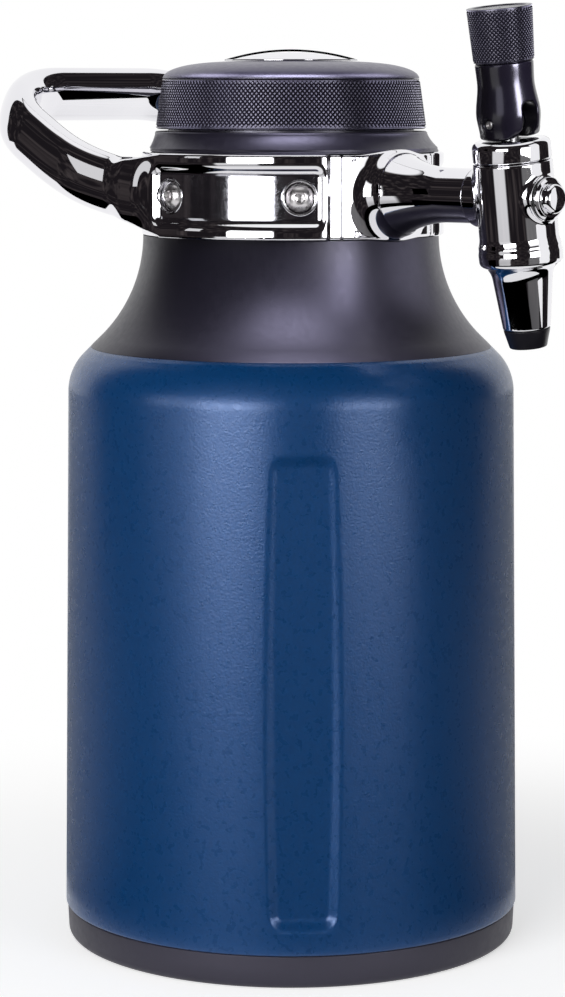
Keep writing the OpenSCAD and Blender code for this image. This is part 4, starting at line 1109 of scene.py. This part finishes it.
def startPaint(name):
    # a finish that starts without the usual shader
    paint, tree, shader = startFinish(name)
    tree.nodes.remove(shader)
    return paint, tree, tree.nodes["Material Output"].inputs["Surface"]


def seenRays(tree):
    # 1 for what the camera, a mirror or glass sees, 0 for light that spreads
    path = addNode(tree, "LightPath")
    seen = path.outputs["Is Camera Ray"]
    for way in ("Is Glossy Ray", "Is Transmission Ray"):
        either = addNode(tree, "Math", links={0: seen, 1: path.outputs[way]})
        either.operation = "MAXIMUM"
        seen = either.outputs[0]
    return seen


def makeWorld():
    world = bpy.data.worlds.new("studio")
    bpy.context.scene.world = world
    world.use_nodes = True
    tree = world.node_tree
    backdrop = tree.nodes["Background"]
    backdrop.inputs["Color"].default_value = (1, 1, 1, 1)
    level = addNode(tree, "MapRange", {"To Min": studio["ambient"], "To Max": 1}, {"Value": seenRays(tree)})
    tree.links.new(level.outputs["Result"], backdrop.inputs["Strength"])


def makeFloor():
    # matt white that turns to plain white away from the growler
    s = studio
    points, faces = turnedMesh([(reach, 0) for reach in s["floorRings"]], s["floorAround"])
    mesh = bpy.data.meshes.new("floor")
    mesh.from_pydata(points.tolist(), [], [face[::-1] for face in faces])
    paint, tree, surface = startPaint("floorWhite")
    white = s["floorWhite"]
    matt = addNode(tree, "BsdfDiffuse", {"Color": (white, white, white, 1)})
    lift = addNode(tree, "Emission", {"Strength": s["floorGlow"]}, {"Color": seenRays(tree)})
    lifted = addNode(tree, "AddShader", links={0: matt.outputs[0], 1: lift.outputs[0]})
    away = addNode(tree, "VectorMath", links={0: addNode(tree, "TexCoord").outputs["Object"]})
    away.operation = "LENGTH"
    near, far = s["floorFade"]
    fade = addNode(tree, "MapRange", {"From Min": near, "From Max": far}, {"Value": away.outputs["Value"]})
    fade.interpolation_type = "SMOOTHSTEP"
    share = addNode(tree, "Math", links={0: fade.outputs["Result"], 1: seenRays(tree)})
    share.operation = "MULTIPLY"
    glow = addNode(tree, "Emission")
    mix = addNode(tree, "MixShader",
                  links={"Fac": share.outputs[0], 1: lifted.outputs[0], 2: glow.outputs[0]})
    tree.links.new(mix.outputs[0], surface)
    mesh.materials.append(paint)
    addObject("floor", mesh)


# screens that only mirrors see, and which pieces they light
chromePieces = ["collarHandle", "tapSaddle", "collarScrews", "screwCups", "faucetBody", "faucetBonnet",
                "frontPlug", "dialBadge"]
tapChrome = ["tapSaddle", "faucetBody", "faucetBonnet", "frontPlug"]
blackPieces = ["shoulderCover", "neckTrim", "dialCrown", "dialRing", "bootFoot", "leverHub", "leverGrip"]


def clamped(value):
    return min(max(value, 0), 1)


def ramped(value, low, high, soft):
    # 1 between low and high, falling to 0 over the soft width
    return eased(clamped(min(value - low, high - value) / soft + 0.5))


def lightsOnly(source, names):
    # this lamp or screen lights the named pieces alone; the others see a screen as black
    chosen = bpy.data.collections.new(source.name + "Seen")
    for name in names:
        chosen.objects.link(bpy.data.objects[name])
    source.light_linking.receiver_collection = chosen


def allBut(names):
    return [shape.name for shape in pieces if shape.name not in names]


def addScreen(name, points, faces, paint, glow=None):
    mesh = bpy.data.meshes.new(name)
    mesh.from_pydata(points, [], faces)
    mesh.materials.append(paint)
    if glow:
        mesh.attributes.new("glow", "FLOAT", "POINT").data.foreach_set("value", glow)
    screen = addObject(name, mesh)
    for way in ("visible_camera", "visible_diffuse", "visible_shadow", "visible_transmission"):
        setattr(screen, way, False)
    return screen


def addSweep(name, turns, rows, paint, glowAt):
    # rows are (reach, height, rise) around the growler
    points = [aroundCamera(turn, reach, height) for reach, height, rise in rows for turn in turns]
    glow = [glowAt(turn, reach, rise) for reach, height, rise in rows for turn in turns]
    wide = len(turns)
    faces = [(j * wide + i, j * wide + i + 1, (j + 1) * wide + i + 1, (j + 1) * wide + i)
             for j in range(len(rows) - 1) for i in range(wide - 1)]
    return addScreen(name, points, faces, paint, glow)


def domeRows(away, first, last, count):
    return [(away * math.cos(rise), away * math.sin(rise), math.degrees(rise))
            for rise in np.radians(np.linspace(first, last, count))]


def floorRows(first, last, up, count):
    return [(reach, up, 0) for reach in np.linspace(first, last, count)]


# mirror room: a dark dome and floor in front of the growler, with bright panels; grids are turns by rows
mirrorRoom = {"away": 2.2, "turns": (-124, 128), "rises": (-0.5, 89), "grid": (120, 40), "soft": 4,
              "dark": (0.012, 0.010, 0.012), "light": (0.065, 0.055, 0.055), "patches": 5, "detail": 4,
              "patchSpan": (0.5, 0.75)}
apron = {"turn": 112, "inner": 0.09, "past": 0.01, "up": 0.003, "grid": (150, 24), "fade": (0.28, 0.85),
         "nearShare": 0.4,
         "panels": [{"turns": (-58, -24), "level": 0.75}, {"turns": (22, 60), "level": 0.15}]}
panels = {"panelLeft": {"turns": (-47, -14), "rises": (0, 25), "level": 1.3, "lift": 10.0,
                        "hiddenFrom": ["shoulderCover", "neckTrim", "leverHub"]},
          "panelRight": {"turns": (24, 60), "rises": (-3, 26), "level": 1.2, "lift": 5.5,
                         "hiddenFrom": ["leverHub"]},
          "panelTop": {"turns": (-150, 150), "rises": (62, 94), "level": 1.0, "lift": 0,
                       "hiddenFrom": ["bodyShell"] + blackPieces}}
panelForm = {"inFront": 0.03, "rises": (0.1, 89), "liftEnd": 18, "liftFade": 8, "grid": (96, 48)}
sideStrips = {"first": 2, "step": 4, "half": 1.3, "last": 160, "up": 0.004, "level": 1, "grid": (3, 8)}
edgeFloor = {"turn": 70, "fade": 40, "reach": 0.7, "up": 0.005, "level": 0.35, "grid": (20, 8)}
nearFloor = {"reach": (0.085, 0.46), "tapReach": 0.30, "turn": 72, "up": 0.006, "fade": 0.12, "level": 0.85,
             "grid": (90, 10)}


def roomPaint():
    s = mirrorRoom
    paint, tree, surface = startPaint("mirrorRoom")
    patches = addRamp(tree, addNoise(tree, s["patches"], s["detail"]), s["dark"], s["light"], s["patchSpan"])
    wall = addNode(tree, "Emission", links={"Color": patches})
    glow = addNode(tree, "Attribute")
    glow.attribute_name = "glow"
    panel = addNode(tree, "Emission", links={"Strength": glow.outputs["Fac"]})
    total = addNode(tree, "AddShader", links={0: wall.outputs[0], 1: panel.outputs[0]})
    tree.links.new(total.outputs[0], surface)
    return paint


def makeMirrorRoom(paint):
    s = mirrorRoom
    wide, tall = s["grid"]
    rows = domeRows(s["away"], *s["rises"], tall)
    addSweep("mirrorDome", np.linspace(*s["turns"], wide), rows, paint, lambda *spot: 0)

    def apronGlow(turn, reach, rise):
        near, far = apron["fade"]
        share = apron["nearShare"] + (1 - apron["nearShare"]) * clamped((reach - near) / (far - near))
        return share * max(panel["level"] * ramped(turn, *panel["turns"], s["soft"])
                           for panel in apron["panels"])

    wide, tall = apron["grid"]
    rows = floorRows(apron["inner"], s["away"] + apron["past"], apron["up"], tall)
    addSweep("mirrorApron", np.linspace(-apron["turn"], apron["turn"], wide), rows, paint, apronGlow)


def makePanels(paint):
    s, soft = panelForm, mirrorRoom["soft"]
    wide, tall = s["grid"]
    for name, panel in panels.items():
        first, last = panel["turns"][0] - soft / 2, panel["turns"][1] + soft / 2
        low, high = panel["rises"][0] - soft / 2, panel["rises"][1] + soft / 2

        def panelGlow(turn, reach, rise):
            level = panel["level"] + panel["lift"] * clamped((s["liftEnd"] - rise) / s["liftFade"])
            return level * ramped(turn, *panel["turns"], soft) * ramped(rise, *panel["rises"], soft)

        lowest, highest = s["rises"]
        rows = domeRows(mirrorRoom["away"] - s["inFront"], max(low, lowest), min(high, highest), tall)
        screen = addSweep(name, np.linspace(first, last, wide), rows, paint, panelGlow)
        lightsOnly(screen, allBut(panel["hiddenFrom"]))


def makeFloorScreens(paint):
    s = sideStrips
    wide, tall = s["grid"]
    rows = floorRows(apron["inner"], mirrorRoom["away"], s["up"], tall)
    for middle in np.arange(apron["turn"] + s["first"], s["last"], s["step"]):
        for side in (-1, 1):  # strips that dim the floor beside the body for the body alone
            turns = np.linspace(middle - s["half"], middle + s["half"], wide) * side
            screen = addSweep("sideStrip", turns, rows, paint, lambda *spot: s["level"])
            lightsOnly(screen, allBut(["bodyShell"]))

    def edgeGlow(turn, reach, rise):
        return edgeFloor["level"] * clamped((abs(turn) - edgeFloor["turn"]) / edgeFloor["fade"])

    wide, tall = edgeFloor["grid"]
    rows = floorRows(apron["inner"], edgeFloor["reach"], edgeFloor["up"], tall)
    for side in (-1, 1):  # pale floor that the edges of the body and boot mirror
        turns = np.linspace(edgeFloor["turn"], apron["turn"], wide) * side
        lightsOnly(addSweep("edgeFloor", turns, rows, paint, edgeGlow), ["bodyShell", "bootFoot"])

    def nearGlow(turn, reach, rise):
        return nearFloor["level"] * min((nearFloor["reach"][1] - reach) / nearFloor["fade"], 1)

    wide, tall = nearFloor["grid"]
    inner, outer = nearFloor["reach"]
    tapEnd = nearFloor["tapReach"]
    turns = np.linspace(-nearFloor["turn"], nearFloor["turn"], wide)
    noTap = [name for name in chromePieces if name not in tapChrome]
    # bright floor close by for the chrome, its outer part hidden from the tap
    for first, last, seenBy in ((inner, tapEnd, chromePieces), (tapEnd, outer, noTap)):
        rows = floorRows(first, last, nearFloor["up"], tall)
        lightsOnly(addSweep("nearFloor", turns, rows, paint, nearGlow), seenBy)


# flags and cards: dark edges for the chrome dome and tap, pale patches for the tap and the handle's leg
flags = {"away": 2.2, "spreads": (3, 17), "around": 96}
tapFlag = {"behind": 0.8, "turns": (2, 8), "heights": (0.02, 0.33)}
tapCard = {"right": 0.215, "depths": (0.092, 0.2), "heights": (0.14, 0.40), "level": 1.0}
legCard = {"turns": (-83, -69), "away": 0.56, "heights": (0.24, 0.43), "level": 0.75}


def plainGlow(name, level):
    paint, tree, surface = startPaint(name)
    tree.links.new(addNode(tree, "Emission", {"Strength": level}).outputs[0], surface)
    return paint


def addCard(name, spots, heights, paint, names):
    points = [spot + Vector((0, 0, height)) for spot in spots for height in heights]
    lightsOnly(addScreen(name, points, [(0, 1, 3, 2)], paint), names)


def makeFlags():
    # half ring behind the growler that the chrome dome sees dark, and a strip that the tap sees dark
    s = flags
    paint = plainGlow("whiteFlag", 1)
    eye = aroundCamera(0, studio["cameraAway"], studio["cameraUp"])
    ahead = aroundCamera(180, 1, 0)
    across = Vector((-ahead.y, ahead.x, 0))
    middle = eye + ahead * (s["away"] + studio["cameraAway"])
    points = []
    for spread in s["spreads"]:
        wide = s["away"] * math.tan(math.radians(spread))
        for angle in np.linspace(0, math.pi, s["around"]):
            points.append(middle + across * wide * math.cos(angle) + Vector((0, 0, wide * math.sin(angle))))
    faces = [(k, k + 1, s["around"] + k + 1, s["around"] + k) for k in range(s["around"] - 1)]
    lightsOnly(addScreen("flags", points, faces, paint), allBut(["dialBadge"]))
    tap = Vector((tapX * mm, 0, 0))
    sight = (tap - Vector((eye.x, eye.y, 0))).normalized()
    right = Vector((sight.y, -sight.x, 0))
    behind = tap + sight * tapFlag["behind"]
    spots = [behind + right * tapFlag["behind"] * math.tan(math.radians(turn)) for turn in tapFlag["turns"]]
    addCard("tapFlag", spots, tapFlag["heights"], paint, allBut(tapChrome))


def makeCards():
    front = aroundCamera(0, 1, 0)
    right = Vector((-front.y, front.x, 0))
    s = tapCard
    spots = [right * s["right"] + front * depth for depth in s["depths"]]
    addCard("tapCard", spots, s["heights"], plainGlow("tapCard", s["level"]), tapChrome)
    s = legCard
    spots = [aroundCamera(turn, s["away"], 0) for turn in s["turns"]]
    addCard("legCard", spots, s["heights"], plainGlow("legCard", s["level"]), ["collarHandle"])


# lamps: place is turn, away and up, size is wide and tall; the black pieces have tinted lamps of their own
lampForm = {"aimUp": 0.16, "white": (1, 1, 1), "tint": (0.82, 0.80, 1.0)}
lamps = {"softLeft": {"place": (-30, 1.5, 0.8), "size": (1.0, 1.3), "level": 3.3},
         "softRight": {"place": (44, 1.6, 0.8), "size": (0.8, 1.3), "level": 1.1},
         "softTop": {"place": (0, 0.05, 1.7), "size": (1.1, 1.1), "level": 0.1},
         "bodyLeft": {"place": (-61, 1.6, 0.33), "size": (0.7, 0.45), "level": 2.4, "seenBy": ["bodyShell"]}}
coverAndTrim = ["shoulderCover", "neckTrim"]
blackLamps = {
    "blackTop": {"place": (0, 0.75, 1.5), "size": (0.9, 0.9), "level": 7.2, "seenBy": coverAndTrim},
    "blackFront": {"place": (6, 1.6, 0.75), "size": (0.5, 0.8), "level": 0.8, "seenBy": coverAndTrim},
    "coverTop": {"place": (0, 0.2, 1.8), "size": (1.6, 1.6), "level": 1.1, "seenBy": ["shoulderCover"]},
    "coverKey": {"place": (43, 1.6, 0.85), "size": (0.4, 1.4), "level": 15.0, "seenBy": ["shoulderCover"]},
    "coverRight": {"place": (92, 1.5, 0.5), "size": (1.4, 1.0), "level": 2.0, "seenBy": coverAndTrim},
    "crownFront": {"place": (0, 1.1, 1.4), "size": (1.6, 0.9), "level": 20.0, "seenBy": ["dialCrown"]},
    "crownLeft": {"place": (-90, 1.2, 1.2), "size": (1.2, 0.9), "level": 8.0, "seenBy": ["dialCrown"]},
    "crownRight": {"place": (90, 1.2, 1.2), "size": (1.2, 0.9), "level": 6.0, "seenBy": ["dialCrown"]},
    "hubKey": {"place": (42, 1.5, 0.6), "size": (0.6, 1.6), "level": 28.0, "seenBy": ["leverHub"]},
    "hubLeft": {"place": (-30, 1.5, 0.6), "size": (0.7, 1.6), "level": 1.5, "seenBy": ["leverHub"]}}
knurlLamps = {"turns": range(-135, 136, 45), "away": 1.3, "up": 0.40, "size": (1.1, 0.6), "level": 2.6}
for k, turn in enumerate(knurlLamps["turns"]):
    place = (turn, knurlLamps["away"], knurlLamps["up"])
    blackLamps["knurl" + str(k)] = {"place": place, "size": knurlLamps["size"], "level": knurlLamps["level"],
                                    "seenBy": ["dialRing", "leverGrip"]}


def makeLamps():
    for name, s in {**lamps, **blackLamps}.items():
        lamp = bpy.data.lights.new(name, "AREA")
        lamp.shape = "RECTANGLE"
        lamp.size, lamp.size_y = s["size"]
        lamp.color = lampForm["tint" if name in blackLamps else "white"]
        lamp.energy = s["level"] * math.pi * s["size"][0] * s["size"][1]
        holder = addObject(name, lamp)
        holder.location = aroundCamera(*s["place"])
        aim = Vector((0, 0, lampForm["aimUp"])) - holder.location
        holder.rotation_euler = aim.to_track_quat("-Z", "Y").to_euler()
        holder.visible_camera = False
        holder.visible_glossy = "seenBy" in s
        if "seenBy" in s:
            lightsOnly(holder, s["seenBy"])


makeCamera()
makeWorld()
makeFloor()
roomFinish = roomPaint()
makeMirrorRoom(roomFinish)
makePanels(roomFinish)
makeFloorScreens(roomFinish)
makeFlags()
makeCards()
makeLamps()
bpy.context.scene.view_settings.view_transform = "Standard"
print("studio done")

bpy.context.view_layer.update()
